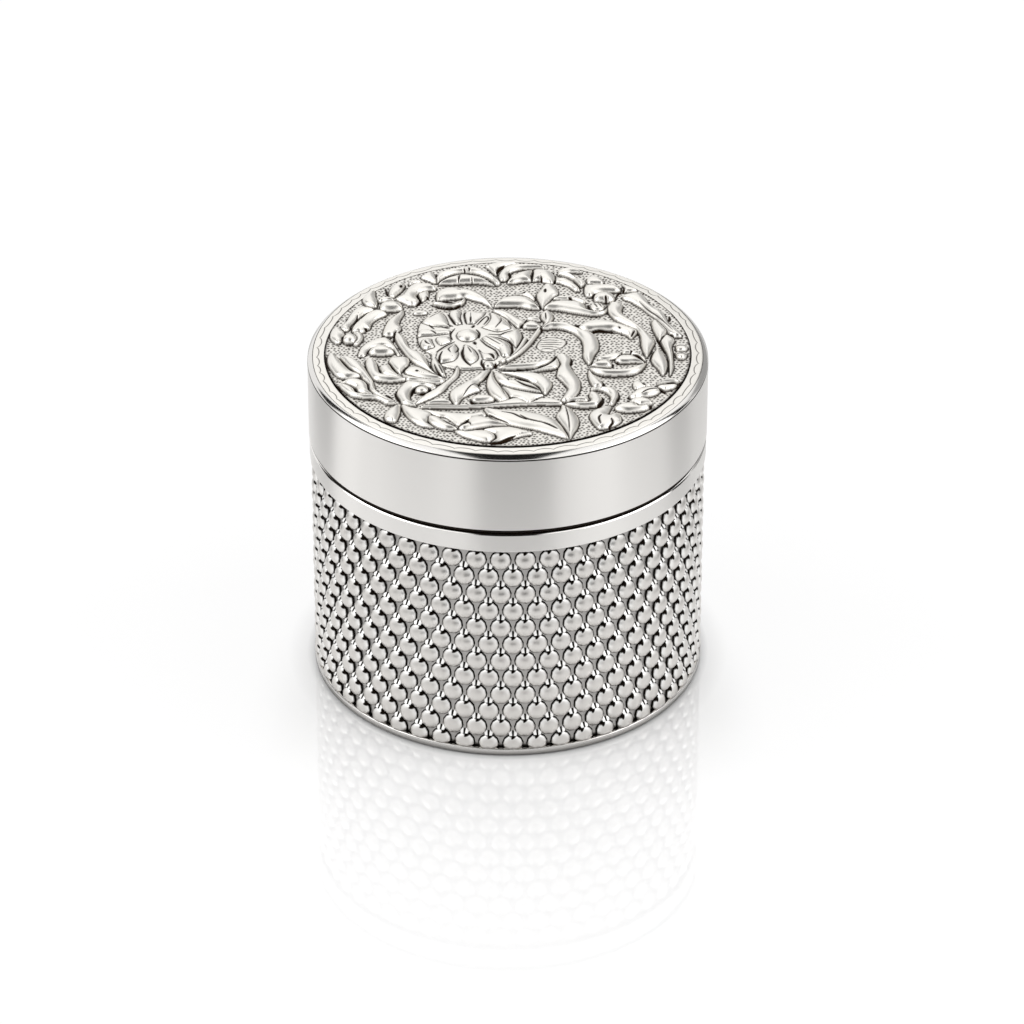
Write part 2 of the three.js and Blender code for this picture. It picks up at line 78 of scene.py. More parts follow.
# Polished silver: a bright faintly warm mirror, softened by hair-fine marks of the buffing wheel,
# with brown-black patina that the wheel can't reach and painted shade in seams and under edges,
# both from each piece's own patina_and_shade attribute
polished_silver = new_material("polished silver")
tree = polished_silver.node_tree
place = add_node(tree, "ShaderNodeTexCoord").outputs["Object"]
marks = add_node(tree, "ShaderNodeTexNoise", {"Vector": place, "Scale": 2500, "Detail": 2})
clouds = add_node(tree, "ShaderNodeTexNoise", {"Vector": place, "Scale": 60, "Detail": 3})
patina_and_shade = add_node(tree, "ShaderNodeAttribute", attribute_name="patina_and_shade").outputs["Fac"]
tint = add_node(
    tree,
    "ShaderNodeMix",
    {"Factor": patina_and_shade, "A": colour("#EBE9E6"), "B": colour("#2B241E")},
    data_type="RGBA",
)
buffed = add_node(
    tree, "ShaderNodeMapRange", {"Value": clouds.outputs["Fac"], "To Min": 0.05, "To Max": 0.11}
)
gloss = add_node(
    tree, "ShaderNodeMath", {0: patina_and_shade, 1: 0.4, 2: buffed.outputs[0]}, operation="MULTIPLY_ADD"
)
relief = add_node(
    tree, "ShaderNodeBump", {"Height": marks.outputs["Fac"], "Strength": 0.04, "Distance": 0.00001}
)
shader = add_node(
    tree,
    "ShaderNodeBsdfPrincipled",
    {
        "Base Color": tint.outputs["Result"],
        "Metallic": 1,
        "Roughness": gloss.outputs[0],
        "Normal": relief.outputs["Normal"],
    },
)
add_node(tree, "ShaderNodeOutputMaterial", {"Surface": shader.outputs["BSDF"]})


# Buffed silver: the plain bands are polished in the lathe, and the buffing lines that run round
# them draw every reflection out upwards and downwards
buffed_silver = polished_silver.copy()
buffed_silver.name = "buffed silver"
tree = buffed_silver.node_tree
shader = tree.nodes["Principled BSDF"]
around_axis = add_node(tree, "ShaderNodeTangent", direction_type="RADIAL", axis="Z")
tree.links.new(around_axis.outputs[0], shader.inputs["Tangent"])
shader.inputs["Anisotropic"].default_value = 0.9
shader.inputs["Anisotropic Rotation"].default_value = 0.25
polish = shader.inputs["Roughness"].links[0].from_socket
lathe_gloss = add_node(tree, "ShaderNodeMath", {0: polish, 1: 0.3}, operation="ADD")
tree.links.new(lathe_gloss.outputs[0], shader.inputs["Roughness"])


def arc(radius, height, size, start, end, steps=6):
    """Points of a rounded edge about a centre, between two angles in degrees."""
    angles = np.radians(np.linspace(start, end, steps + 1))
    return [(radius + size * math.cos(a), height + size * math.sin(a)) for a in angles]


def finish_mesh(name, vertices, faces, material, shades, crease=35):
    """A smooth-shaded object from points in millimetres, creased where it turns sharply."""
    mesh = bpy.data.meshes.new(name)
    mesh.from_pydata([(x / 1000, y / 1000, z / 1000) for x, y, z in vertices], [], faces)
    attribute = mesh.attributes.new("patina_and_shade", "FLOAT", "POINT")
    attribute.data.foreach_set("value", np.array(shades, np.float32))
    mesh.materials.append(material)
    mesh.shade_smooth()
    mesh.set_sharp_from_angle(angle=math.radians(crease))
    piece = bpy.data.objects.new(name, mesh)
    bpy.context.scene.collection.objects.link(piece)
    return piece


def turned_piece(name, profile, material, sides=240):
    """A piece turned about the box's axis from (radius, height, patina_and_shade) points,
    anticlockwise.
    """
    points = np.array([(*point, 0)[:3] for point in profile], float)
    held = []
    for here, after in zip(points, np.roll(points, -1, axis=0)):
        held.append(here)
        length = math.hypot(*(after - here)[:2])
        if length > 0.5 and max(here[0], after[0]) > 0:
            held += [here + (after - here) * share for share in (0.04 / length, 1 - 0.04 / length)]
    rings = []
    vertices = []
    shades = []
    for r, z, shade in held:
        count = 1 if r < 1e-6 else sides
        rings.append(list(range(len(vertices), len(vertices) + count)))
        shades += [shade] * count
        for k in range(count):
            a = 2 * math.pi * k / sides
            vertices.append((r * math.cos(a), r * math.sin(a), z))
    faces = []
    for i, ring in enumerate(rings):
        after = rings[(i + 1) % len(rings)]
        for k in range(sides):
            n = (k + 1) % sides
            if len(ring) == 1 and len(after) == 1:
                break
            if len(ring) == 1:
                faces.append((ring[0], after[n], after[k]))
            elif len(after) == 1:
                faces.append((ring[k], ring[n], after[0]))
            else:
                faces.append((ring[k], ring[n], after[n], after[k]))
    return finish_mesh(name, vertices, faces, material, shades)


foot_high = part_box("foot_ring")[1] * 1000
foot_radius = foot_high.x
foot_height = foot_high.z
# The foot's lower edge and its top beside the sleeve are painted dark as shade, and its upper edge
# grey as shade
foot = turned_piece(
    "foot_ring_polished",
    [
        (34.5, 0, 1),
        *((r, z, 0.7) for r, z in arc(foot_radius - 0.35, 0.35, 0.35, -90, 0)),
        *((r, z, 0.3) for r, z in arc(foot_radius - 0.35, foot_height - 0.35, 0.35, 0, 90)),
        (37.25, foot_height),
        (37.05, foot_height, 1),
        (36.15, foot_height, 1),
        (36.15, 0.9),
        (34.5, 0.9),
    ],
    polished_silver,
)
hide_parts("foot_ring")
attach(foot, "box_body")

# Base plate, drum wall and collar. Plain rolled silver sheet that is seen only when the lid is
# off, left with a satin finish from fine abrasive. The collar is the guide that the lid slips on.
satin_silver = new_material("satin silver")
tree = satin_silver.node_tree
place = add_node(tree, "ShaderNodeTexCoord").outputs["Object"]
turned_lines = add_node(
    tree, "ShaderNodeMapping", {"Vector": place, "Scale": (60, 60, 4000)}
)
grain = add_node(
    tree, "ShaderNodeTexNoise", {"Vector": turned_lines.outputs["Vector"], "Scale": 1, "Detail": 3}
)
clouds = add_node(tree, "ShaderNodeTexNoise", {"Vector": place, "Scale": 90, "Detail": 3})
gloss = add_node(
    tree, "ShaderNodeMapRange", {"Value": clouds.outputs["Fac"], "To Min": 0.28, "To Max": 0.42}
)
relief = add_node(
    tree, "ShaderNodeBump", {"Height": grain.outputs["Fac"], "Strength": 0.25, "Distance": 0.00002}
)
shader = add_node(
    tree,
    "ShaderNodeBsdfPrincipled",
    {
        "Base Color": colour("#D8D6D0"),
        "Metallic": 1,
        "Roughness": gloss.outputs["Result"],
        "Normal": relief.outputs["Normal"],
    },
)
add_node(tree, "ShaderNodeOutputMaterial", {"Surface": shader.outputs["BSDF"]})


def plain_ring(name, inner, outer, bottom, top, edge, material):
    """A sheet ring with its four edges eased."""
    return turned_piece(
        name,
        [
            *arc(inner + edge, bottom + edge, edge, 180, 270, 3),
            *arc(outer - edge, bottom + edge, edge, 270, 360, 3),
            *arc(outer - edge, top - edge, edge, 0, 90, 3),
            *arc(inner + edge, top - edge, edge, 90, 180, 3),
        ],
        material,
    )


base = turned_piece(
    "base_plate_satin", [(0, 0.95), (36.1, 0.95), (36.1, 1.75), (0, 1.75)], satin_silver
)
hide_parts("base_plate")
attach(base, "box_body")

wall = plain_ring("drum_wall_satin", 35.2, 36.1, 1.8, 46.35, 0.1, satin_silver)
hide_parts("drum_wall")
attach(wall, "box_body")

collar = plain_ring("collar_satin", 35.6, 36.25, 46.4, 57.5, 0.15, satin_silver)
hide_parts("collar")
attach(collar, "box_body")

# Beaded sleeve. Round beads are stamped into one silver sheet in twelve staggered rows of fifty,
# then the sheet is wrapped round the drum and polished. Patina and painted shade darken the foot of
# each bead, a painted dark reflection marks a nick at its top, and painted highlights brighten its
# upper half and two spots above it.
beaded_silver = new_material("beaded silver")
tree = beaded_silver.node_tree
place = add_node(tree, "ShaderNodeTexCoord").outputs["Object"]
clouds = add_node(tree, "ShaderNodeTexNoise", {"Vector": place, "Scale": 900, "Detail": 2})
patina_and_shade = add_node(tree, "ShaderNodeAttribute", attribute_name="patina_and_shade").outputs["Fac"]
painted_highlight = add_node(tree, "ShaderNodeAttribute", attribute_name="painted_highlight").outputs["Fac"]
patina_and_shade_mask = add_node(
    tree,
    "ShaderNodeMapRange",
    {"Value": patina_and_shade, "From Min": 0.3, "From Max": 0.7},
    interpolation_type="SMOOTHSTEP",
)
face = add_node(
    tree,
    "ShaderNodeMix",
    {"Factor": painted_highlight, "A": colour("#D6D3CF"), "B": colour("#FBFAF8")},
    data_type="RGBA",
)
tint = add_node(
    tree,
    "ShaderNodeMix",
    {"Factor": patina_and_shade_mask, "A": face.outputs["Result"], "B": colour("#17120E")},
    data_type="RGBA",
)
gloss = add_node(
    tree, "ShaderNodeMapRange", {"Value": clouds.outputs["Fac"], "To Min": 0.27, "To Max": 0.36}
)
gloss = add_node(tree, "ShaderNodeMath", {0: patina_and_shade_mask, 1: 0.3, 2: gloss}, operation="MULTIPLY_ADD")
shader = add_node(
    tree,
    "ShaderNodeBsdfPrincipled",
    {"Base Color": tint.outputs["Result"], "Metallic": 1, "Roughness": gloss},
)
add_node(tree, "ShaderNodeOutputMaterial", {"Surface": shader.outputs["BSDF"]})

# One bead, lying flat: a cap a little taller than wide with a steep rim, the crease round it, and
# two small facets above it that are painted bright as highlights
bead_half = 1.84
bead_stretch = 1.08
bead_lift = 0.42
rim_slope = math.radians(42)
bead_dome = bead_half * math.tan(rim_slope / 2)
headings = np.radians([90, 66, 38, 8, -22, -56, -90, -124, -158, 172, 142, 114])
vertices = [(0, 0, bead_lift + bead_dome)]
patina_and_shade = [0]
painted_highlight = [0]
# Rings of the bead: share of its width, patina and painted shade, a painted dark nick at the top,
# and painted highlight on the upper half
for share, patina_and_shade_share, painted_nick, painted_highlight_share in (
    (0.4, 0, 0, 0),
    (0.62, 0, 0.05, 0.1),
    (0.82, 0, 1, 0.6),
    (1, 0.38, 1, 1),
    (1.13, 1, 1, 0),
):
    slope = math.asin(min(share, 1) * math.sin(rim_slope))
    cap = (math.cos(slope) - math.cos(rim_slope)) / (1 - math.cos(rim_slope))
    for heading in headings:
        rise = math.sin(heading)
        reach = share * bead_half
        depth = bead_lift + bead_dome * cap if share <= 1 else -0.02
        vertices.append((reach * math.cos(heading), reach * rise * bead_stretch, depth))
        patina_and_shade.append(painted_nick if rise > 0.99 else patina_and_shade_share)
        painted_highlight.append(painted_highlight_share * min(max(rise * 2, 0), 1))
turns = len(headings)
faces = [(0, 1 + (k + 1) % turns, 1 + k) for k in range(turns)]
for ring in range(4):
    first = 1 + ring * turns
    for k in range(turns):
        n = (k + 1) % turns
        faces.append((first + k, first + n, first + turns + n, first + turns + k))
bead = finish_mesh("bead", vertices, faces, beaded_silver, patina_and_shade, crease=60)
attribute = bead.data.attributes.new("painted_highlight", "FLOAT", "POINT")
attribute.data.foreach_set("value", np.array(painted_highlight, np.float32))

vertices, faces, patina_and_shade = [], [], []
# The facets are painted bright all over as highlights, and their sunk outer edges are painted dark
# as shade
facet_columns = ((-0.92, 1), (-0.66, 0), (-0.38, 0), (0, 1), (0.38, 0), (0.66, 0), (0.92, 1))
for up, wide, depth in ((2.15, 0.85, 0.66), (2.55, 1.05, 0.36), (3.0, 1.25, -0.03)):
    first = len(vertices)
    for column, (aside, patina_and_shade_share) in enumerate(facet_columns):
        vertices.append((aside * wide, up, depth - 0.12 * (abs(aside) > 0.8)))
        patina_and_shade.append(patina_and_shade_share)
        if up > 2.2 and column:
            here = first + column
            below = here - len(facet_columns)
            faces.append((below - 1, below, here, here - 1))
facets = finish_mesh("facets", vertices, faces, beaded_silver, patina_and_shade, crease=60)
attribute = facets.data.attributes.new("painted_highlight", "FLOAT", "POINT")
attribute.data.foreach_set("value", np.ones(len(vertices), np.float32))

# The sheet between the beads is darkened with patina and painted shade, and its ends under the rim
# band and above the foot are painted dark as shade
sleeve_wall = turned_piece(
    "sleeve_wall",
    [
        (36.2, 1.45, 1),
        (36.6, 1.45, 1),
        (36.6, 2.2, 0.56),
        (36.6, 45.1, 0.56),
        (36.6, 45.65, 1),
        (36.2, 45.65, 1),
    ],
    polished_silver,
)
rows = bpy.data.node_groups.new("staggered bead rows", "GeometryNodeTree")
sizes = {
    "Rows": 12,
    "Beads per row": 50,
    "Row pitch": 3.745 / 1000,
    "Top row": 43.25 / 1000,
    "Sheet radius": 36.6 / 1000,
    "Phase": math.radians(-2.1 - 90),
    "Lower cut": 1.43 / 1000,
    "Bead": bead,
    "Facets": facets,
}
rows.interface.new_socket("Sheet", in_out="INPUT", socket_type="NodeSocketGeometry")
kinds = {int: "NodeSocketInt", float: "NodeSocketFloat", bpy.types.Object: "NodeSocketObject"}
socket_of = {}
for name, value in sizes.items():
    kind = kinds[type(value)]
    socket_of[name] = rows.interface.new_socket(name, in_out="INPUT", socket_type=kind).identifier
rows.interface.new_socket("Sleeve", in_out="OUTPUT", socket_type="NodeSocketGeometry")
given = add_node(rows, "NodeGroupInput").outputs

# The beads in their rows, every second row half a bead further round
per_row = given["Beads per row"]
count = add_node(rows, "ShaderNodeMath", {0: given["Rows"], 1: per_row}, operation="MULTIPLY")
index = add_node(rows, "GeometryNodeInputIndex").outputs[0]
row = add_node(rows, "ShaderNodeMath", {0: index, 1: per_row}, operation="DIVIDE")
row = add_node(rows, "ShaderNodeMath", {0: row}, operation="FLOOR")
column = add_node(rows, "ShaderNodeMath", {0: index, 1: per_row}, operation="MODULO")
odd = add_node(rows, "ShaderNodeMath", {0: row, 1: 2.0}, operation="MODULO")
column = add_node(rows, "ShaderNodeMath", {0: odd, 1: 0.5, 2: column}, operation="MULTIPLY_ADD")
turn = add_node(rows, "ShaderNodeMath", {0: column, 1: per_row}, operation="DIVIDE")
angle = add_node(
    rows,
    "ShaderNodeMath",
    {0: turn, 1: 2 * math.pi, 2: given["Phase"]},
    operation="MULTIPLY_ADD",
)
east = add_node(rows, "ShaderNodeMath", {0: angle}, operation="COSINE")
north = add_node(rows, "ShaderNodeMath", {0: angle}, operation="SINE")
outward = add_node(rows, "ShaderNodeCombineXYZ", {"X": east, "Y": north})
on_sheet = add_node(
    rows,
    "ShaderNodeVectorMath",
    {"Vector": outward, "Scale": given["Sheet radius"]},
    operation="SCALE",
)
down = add_node(rows, "ShaderNodeMath", {0: row, 1: given["Row pitch"]}, operation="MULTIPLY")
level = add_node(rows, "ShaderNodeMath", {0: given["Top row"], 1: down}, operation="SUBTRACT")
lift = add_node(rows, "ShaderNodeCombineXYZ", {"Z": level})
spot = add_node(rows, "ShaderNodeVectorMath", {0: on_sheet, 1: lift}, operation="ADD")
spots = add_node(rows, "GeometryNodePoints", {"Count": count, "Position": spot})
facing = add_node(rows, "FunctionNodeAlignRotationToVector", {"Vector": outward}, axis="Z")
upright = add_node(
    rows,
    "FunctionNodeAlignRotationToVector",
    {"Rotation": facing, "Vector": (0, 0, 1)},
    axis="Y",
    pivot_axis="Z",
)
# The nicks lean towards the front as they do in the photo, 30 degrees at 40 degrees round. This is
# a guess at the form: in the photo it may be a reflection. The facets between the beads don't lean.
lean = add_node(rows, "ShaderNodeMath", {0: east, 1: 0.81}, operation="MULTIPLY")
tilt = add_node(rows, "FunctionNodeAxisAngleToRotation", {"Axis": (0, 0, 1), "Angle": lean})
leaning = add_node(
    rows,
    "FunctionNodeRotateRotation",
    {"Rotation": upright, "Rotate By": tilt},
    rotation_space="LOCAL",
)
placed = add_node(rows, "GeometryNodeJoinGeometry")
for shape, turned in (("Bead", leaning), ("Facets", upright)):
    stamp = add_node(rows, "GeometryNodeObjectInfo", {"Object": given[shape]})
    copies = add_node(
        rows,
        "GeometryNodeInstanceOnPoints",
        {"Points": spots, "Instance": stamp.outputs["Geometry"], "Rotation": turned},
    )
    rows.links.new(copies.outputs[0], placed.inputs[0])
real = add_node(rows, "GeometryNodeRealizeInstances", {"Geometry": placed})
where = add_node(rows, "GeometryNodeInputPosition")
cut_at = add_node(rows, "ShaderNodeSeparateXYZ", {0: where}).outputs
kept = add_node(
    rows, "ShaderNodeMath", {0: cut_at["Z"], 1: given["Lower cut"]}, operation="MAXIMUM"
)
flattened = add_node(
    rows, "ShaderNodeCombineXYZ", {"X": cut_at["X"], "Y": cut_at["Y"], "Z": kept}
)
cut = add_node(rows, "GeometryNodeSetPosition", {"Geometry": real, "Position": flattened})
coated = add_node(rows, "GeometryNodeSetMaterial", {"Geometry": cut, "Material": beaded_silver})
both = add_node(rows, "GeometryNodeJoinGeometry", {0: coated})
rows.links.new(given["Sheet"], both.inputs[0])
add_node(rows, "NodeGroupOutput", {0: both})


def grown(base_piece, name, node_group, sockets, values):
    """The plain mesh that a node tree grows on a piece, in place of that piece."""
    modifier = base_piece.modifiers.new(name, "NODES")
    modifier.node_group = node_group
    for key, value in values.items():
        modifier[sockets[key]] = value
    depsgraph = bpy.context.evaluated_depsgraph_get()
    mesh = bpy.data.meshes.new_from_object(base_piece.evaluated_get(depsgraph))
    base_piece.modifiers.remove(modifier)
    bpy.data.objects.remove(base_piece)
    mesh.name = name
    result = bpy.data.objects.new(name, mesh)
    bpy.context.scene.collection.objects.link(result)
    return result


sleeve = grown(sleeve_wall, "beaded_sleeve_stamped", rows, socket_of, sizes)
for shape in (bead, facets):
    bpy.data.objects.remove(shape)
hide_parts("beaded_sleeve")
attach(sleeve, "box_body")

# Rim band. A plain band is soldered round the top of the drum over the sheet's upper edge. Its own
# upper edge is rounded over, and the lid comes to rest on it.
# Painted shade darkens the band's underside above the beads and the faces hidden inside and under
# the lid
rim = turned_piece(
    "rim_band_polished",
    [
        (36.3, 45.7, 1),
        (37.5, 45.7, 1),
        *arc(37.6, 46.0, 0.3, -65, 0),
        (37.9, 49.3),
        (37.8, 49.36, 1),
        (36.3, 49.36, 1),
    ],
    buffed_silver,
)
rim_edge = turned_piece(
    "rim_band_rounded_edge",
    [
        (36.3, 49.38, 1),
        (37.8, 49.38, 1),
        *arc(36.95, 48.46, 1.3, 43, 82, 12),
        (37.05, 49.8, 1),
        (36.3, 49.9, 1),
    ],
    polished_silver,
)
for piece in (rim, rim_edge):
    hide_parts("rim_band")
    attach(piece, "box_body")

# Lid band. The plain side of the lid is one polished strip, bent round and soldered. Its lower
# edge is eased and rests on the rim band; that edge and the top edge under the wire are painted
# dark as shade in the seams.
lid_bottom = 50.05
lid_band_top = 65.7
band = turned_piece(
    "lid_band_polished",
    [
        (37.1, lid_bottom, 1),
        (37.62, lid_bottom, 1),
        (37.8, lid_bottom + 0.05, 1),
        (37.93, lid_bottom + 0.2, 1),
        (38, lid_bottom + 0.52, 1),
        (38, lid_bottom + 0.57),
        (38, lid_band_top - 0.22),
        (37.97, lid_band_top - 0.16, 0.9),
        (37.86, lid_band_top - 0.06, 1),
        (37.1, lid_band_top, 1),
    ],
    buffed_silver,
)
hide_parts("lid_band")
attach(band, "lid")

# Lid liner and underplate. The liner slides on the collar; the flat plate soldered into it closes
# the hollow back of the chased relief. Both keep the satin finish of the inside.
liner = plain_ring("lid_liner_satin", 36.4, 37.05, 50.35, 65.7, 0.12, satin_silver)
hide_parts("lid_inner_sleeve")
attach(liner, "lid")

underplate = turned_piece(
    "lid_underplate_satin", [(0, 65), (36.35, 65), (36.35, 65.7), (0, 65.7)], satin_silver
)
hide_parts("lid_underplate")
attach(underplate, "lid")

# Edge wire. A half round wire is soldered over the corner of the lid and burnished smooth; its
# underside, where it meets the band, is painted dark as shade, its inner edge half dark, and its
# rounded face a little darker.
edge_wire = turned_piece(
    "lid_edge_wire_polished",
    [
        (37.05, 65.75, 1),
        (37.88, 65.75, 1),
        (37.98, 65.8, 1),
        *((r, z, 0.1) for r, z in arc(35.97, 64.01, 2.7, 42, 66, 10)),
        (37.05, 66.46, 0.5),
    ],
    polished_silver,
)
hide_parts("lid_edge_wire")
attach(edge_wire, "lid")

# Border. The margin round the plaque is nearly flat and polished white. A wavy line is chased by
# hand along it, so its scallops differ a little from one to the next.
rng = np.random.default_rng(7)
around = 1440
outline = [
    (33.55, 65.75),
    (36.98, 65.75),
    (36.98, 66.36),
    *arc(36.84, 66.42, 0.12, -20, 84, 4),
]
outline += [(r, 66.56 + 0.06 * (36.8 - r)) for r in np.linspace(36.72, 35.2, 40)]
outline += arc(34.95, 66.42, 0.26, 84, 170, 6)
outline += [(34.63, 66.35), (33.55, 66.3)]
scallops = 62
knots = np.cumsum(rng.uniform(0.75, 1.3, scallops))
knots = knots / knots[-1] * 2 * math.pi
depths = rng.uniform(0.3, 0.75, scallops)
angles = np.arange(around) / around * 2 * math.pi
which = np.searchsorted(knots, angles) % scallops
start = np.concatenate([[0], knots])[which]
share = (angles - start) / (knots[which] - start)
line_radius = 36.3 - depths[which] * np.sin(np.pi * share) ** 0.6
vertices = []
shades = []
for r, z in outline:
    on_margin = z > 66.4 and 35.2 < r < 36.7
    groove = np.exp(-(((r - line_radius) / 0.09) ** 2)) if on_margin else np.zeros(around)
    ring_z = z - 0.05 * groove
    vertices += list(zip(r * np.cos(angles), r * np.sin(angles), ring_z))
    # The border's inner and outer walls are painted dark as shade; the chased line holds patina
    wall_shade = 1 if r < 34.75 else 0.5 if r > 36.95 else 0
    shades += list(np.clip(groove * 0.9 + wall_shade, 0, 1))
faces = []
for i in range(len(outline)):
    first = i * around
    second = (i + 1) % len(outline) * around
    for k in range(around):
        n = (k + 1) % around
        faces.append((first + k, first + n, second + n, second + k))

# Chased silver: burnished high parts that mirror softly, and brown-black patina left in every
# recess by the oxidising bath, with painted shade at the border's walls and beside them, from the
# piece's own patina_and_shade attribute
chased_silver = new_material("chased silver")
tree = chased_silver.node_tree
place = add_node(tree, "ShaderNodeTexCoord").outputs["Object"]
patina_and_shade = add_node(tree, "ShaderNodeAttribute", attribute_name="patina_and_shade").outputs["Fac"]
hammered = add_node(tree, "ShaderNodeTexNoise", {"Vector": place, "Scale": 700, "Detail": 2})
tint = add_node(
    tree,
    "ShaderNodeMix",
    {"Factor": patina_and_shade, "A": colour("#EDEAE4"), "B": colour("#251A10")},
    data_type="RGBA",
)
gloss = add_node(
    tree, "ShaderNodeMapRange", {"Value": patina_and_shade, "To Min": 0.3, "To Max": 0.6}
)
relief = add_node(
    tree,
    "ShaderNodeBump",
    {"Height": hammered.outputs["Fac"], "Strength": 0.2, "Distance": 0.00002},
)
shader = add_node(
    tree,
    "ShaderNodeBsdfPrincipled",
    {
        "Base Color": tint.outputs["Result"],
        "Metallic": 1,
        "Roughness": gloss.outputs["Result"],
        "Normal": relief.outputs["Normal"],
    },
)
add_node(tree, "ShaderNodeOutputMaterial", {"Surface": shader.outputs["BSDF"]})

border = finish_mesh("lid_border_chased", vertices, faces, chased_silver, shades, crease=50)
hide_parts("lid_border")
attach(border, "lid")

# Plaque. Leaves, scrolls and a rosette are raised from behind and chased from the front in one
# silver sheet. The ground between them is matted with a fine punch and darkened.
plaque_radius = 34.6
ground_level = 66.85
step = 0.125
lines = np.arange(-plaque_radius - step, plaque_radius + 2 * step, step)
X, Y = np.meshgrid(lines, lines)
height = np.zeros_like(X)
group = np.zeros(X.shape, np.int8)
owner = np.zeros(X.shape, np.int16)
drawn = np.zeros(X.shape)
# The points below were traced over a flattened view of the photo, and move back by this
trace_shift = 0.4


def window(x, y, reach):
    """The part of the grid within reach of a run of points."""
    left, right = np.searchsorted(lines, (min(x) - reach, max(x) + reach))
    low, high = np.searchsorted(lines, (min(y) - reach, max(y) + reach))
    return slice(low, high), slice(left, right)


def curve_through(a, b, c, d, t):
    """The points of a smooth curve from b, where t is 0, to c, where t is 1."""
    bend = (2 * a - 5 * b + 4 * c - d) * t**2 + (3 * b - a - 3 * c + d) * t**3
    return 0.5 * (2 * b + (c - a) * t + bend)


def run_of(points, steps=80):
    """A smooth curve through the points, with its direction at every step."""
    p = np.array(points, float)
    p = np.vstack([2 * p[0] - p[1], p, 2 * p[-1] - p[-2]])
    t = np.linspace(0, len(points) - 1, steps)
    k = np.minimum(t.astype(int), len(points) - 2)
    t = (t - k)[:, None]
    a, b, c, d = p[k], p[k + 1], p[k + 2], p[k + 3]
    curve = curve_through(a, b, c, d, t)
    along = np.gradient(curve, axis=0)
    along /= np.linalg.norm(along, axis=1)[:, None]
    return curve, along


def beside(points, half_width):
    """For the grid near a curve: its window, how far along each point lies, and how far across."""
    curve, along = run_of(points)
    area = window(curve[:, 0], curve[:, 1], half_width + 0.3)
    dx = X[area][..., None] - curve[:, 0]
    dy = Y[area][..., None] - curve[:, 1]
    near = np.argmin(dx * dx + dy * dy, axis=-1)
    pick = lambda values: np.take_along_axis(values, near[..., None], axis=-1)[..., 0]
    tx, ty = along[near, 0], along[near, 1]
    forward = pick(dx) * tx + pick(dy) * ty
    across = pick(dy) * tx - pick(dx) * ty
    steps = len(curve) - 1
    length = np.linalg.norm(np.diff(curve, axis=0), axis=1).sum()
    share = near / steps + forward / length
    return area, share, across


def raise_to(area, bump, number):
    """Raises the sheet to a motif where the motif stands higher."""
    higher = bump > height[area] + 0.02
    height[area] = np.where(higher, bump, height[area])
    group[area] = np.where(higher, number, group[area])
    owner[area] = np.where(higher, owner.max() + 1, owner[area])


def draw_line(width, *points, depth=0.16):
    """A line chased into the raised silver, thin at both ends, where patina stays."""
    area, share, across = beside([(x, y + trace_shift) for x, y in points], 1)
    swell = np.clip(np.sin(np.pi * np.clip(share, 0, 1)), 0, 1) ** 0.35
    groove = np.exp(-((across / (width * np.maximum(swell, 0.05))) ** 4)) * (swell > 0)
    height[area] -= depth * groove
    drawn[area] = np.maximum(drawn[area], groove)


def raise_shape(crest, soft, number, *points):
    """A motif inside a smooth closed outline: a pillow whose edge is rounded over a width."""
    p = np.array(points, float) + (0, trace_shift)
    t = (np.arange(8) / 8)[None, :, None]
    a, b, c, d = (np.roll(p, shift, axis=0)[:, None, :] for shift in (1, 0, -1, -2))
    curve = curve_through(a, b, c, d, t)
    curve = curve.reshape(-1, 2)
    area = window(curve[:, 0], curve[:, 1], 0.2)
    x, y = X[area], Y[area]
    inside = np.zeros(x.shape, bool)
    edge = np.full(x.shape, 9.0)
    for (x0, y0), (x1, y1) in zip(curve, np.roll(curve, -1, axis=0)):
        dx, dy = x1 - x0, y1 - y0
        along = np.clip(((x - x0) * dx + (y - y0) * dy) / (dx * dx + dy * dy + 1e-12), 0, 1)
        edge = np.minimum(edge, np.hypot(x - x0 - along * dx, y - y0 - along * dy))
        if dy:
            crosses = ((y0 > y) != (y1 > y)) & (x < x0 + (y - y0) * dx / dy)
            inside ^= crosses
    edge *= inside
    rim = 1 - np.clip(edge / min(1.3 * soft, edge.max()), 0, 1)
    ridge = 1 - edge / edge.max()
    raise_to(area, crest * (0.58 * (1 - rim**2) ** 0.6 + 0.37 * (1 - ridge**2) ** 0.7), number)


def raise_boss(half_width, half_depth, crest, x, y, number=1):
    """A bud or berry: a smooth dome, oval in plan."""
    y += trace_shift
    area = window([x], [y], max(half_width, half_depth) + 0.2)
    reach = ((X[area] - x) / half_width) ** 2 + ((Y[area] - y) / half_depth) ** 2
    raise_to(area, crest * np.clip(1 - reach, 0, 1) ** 0.5, number)


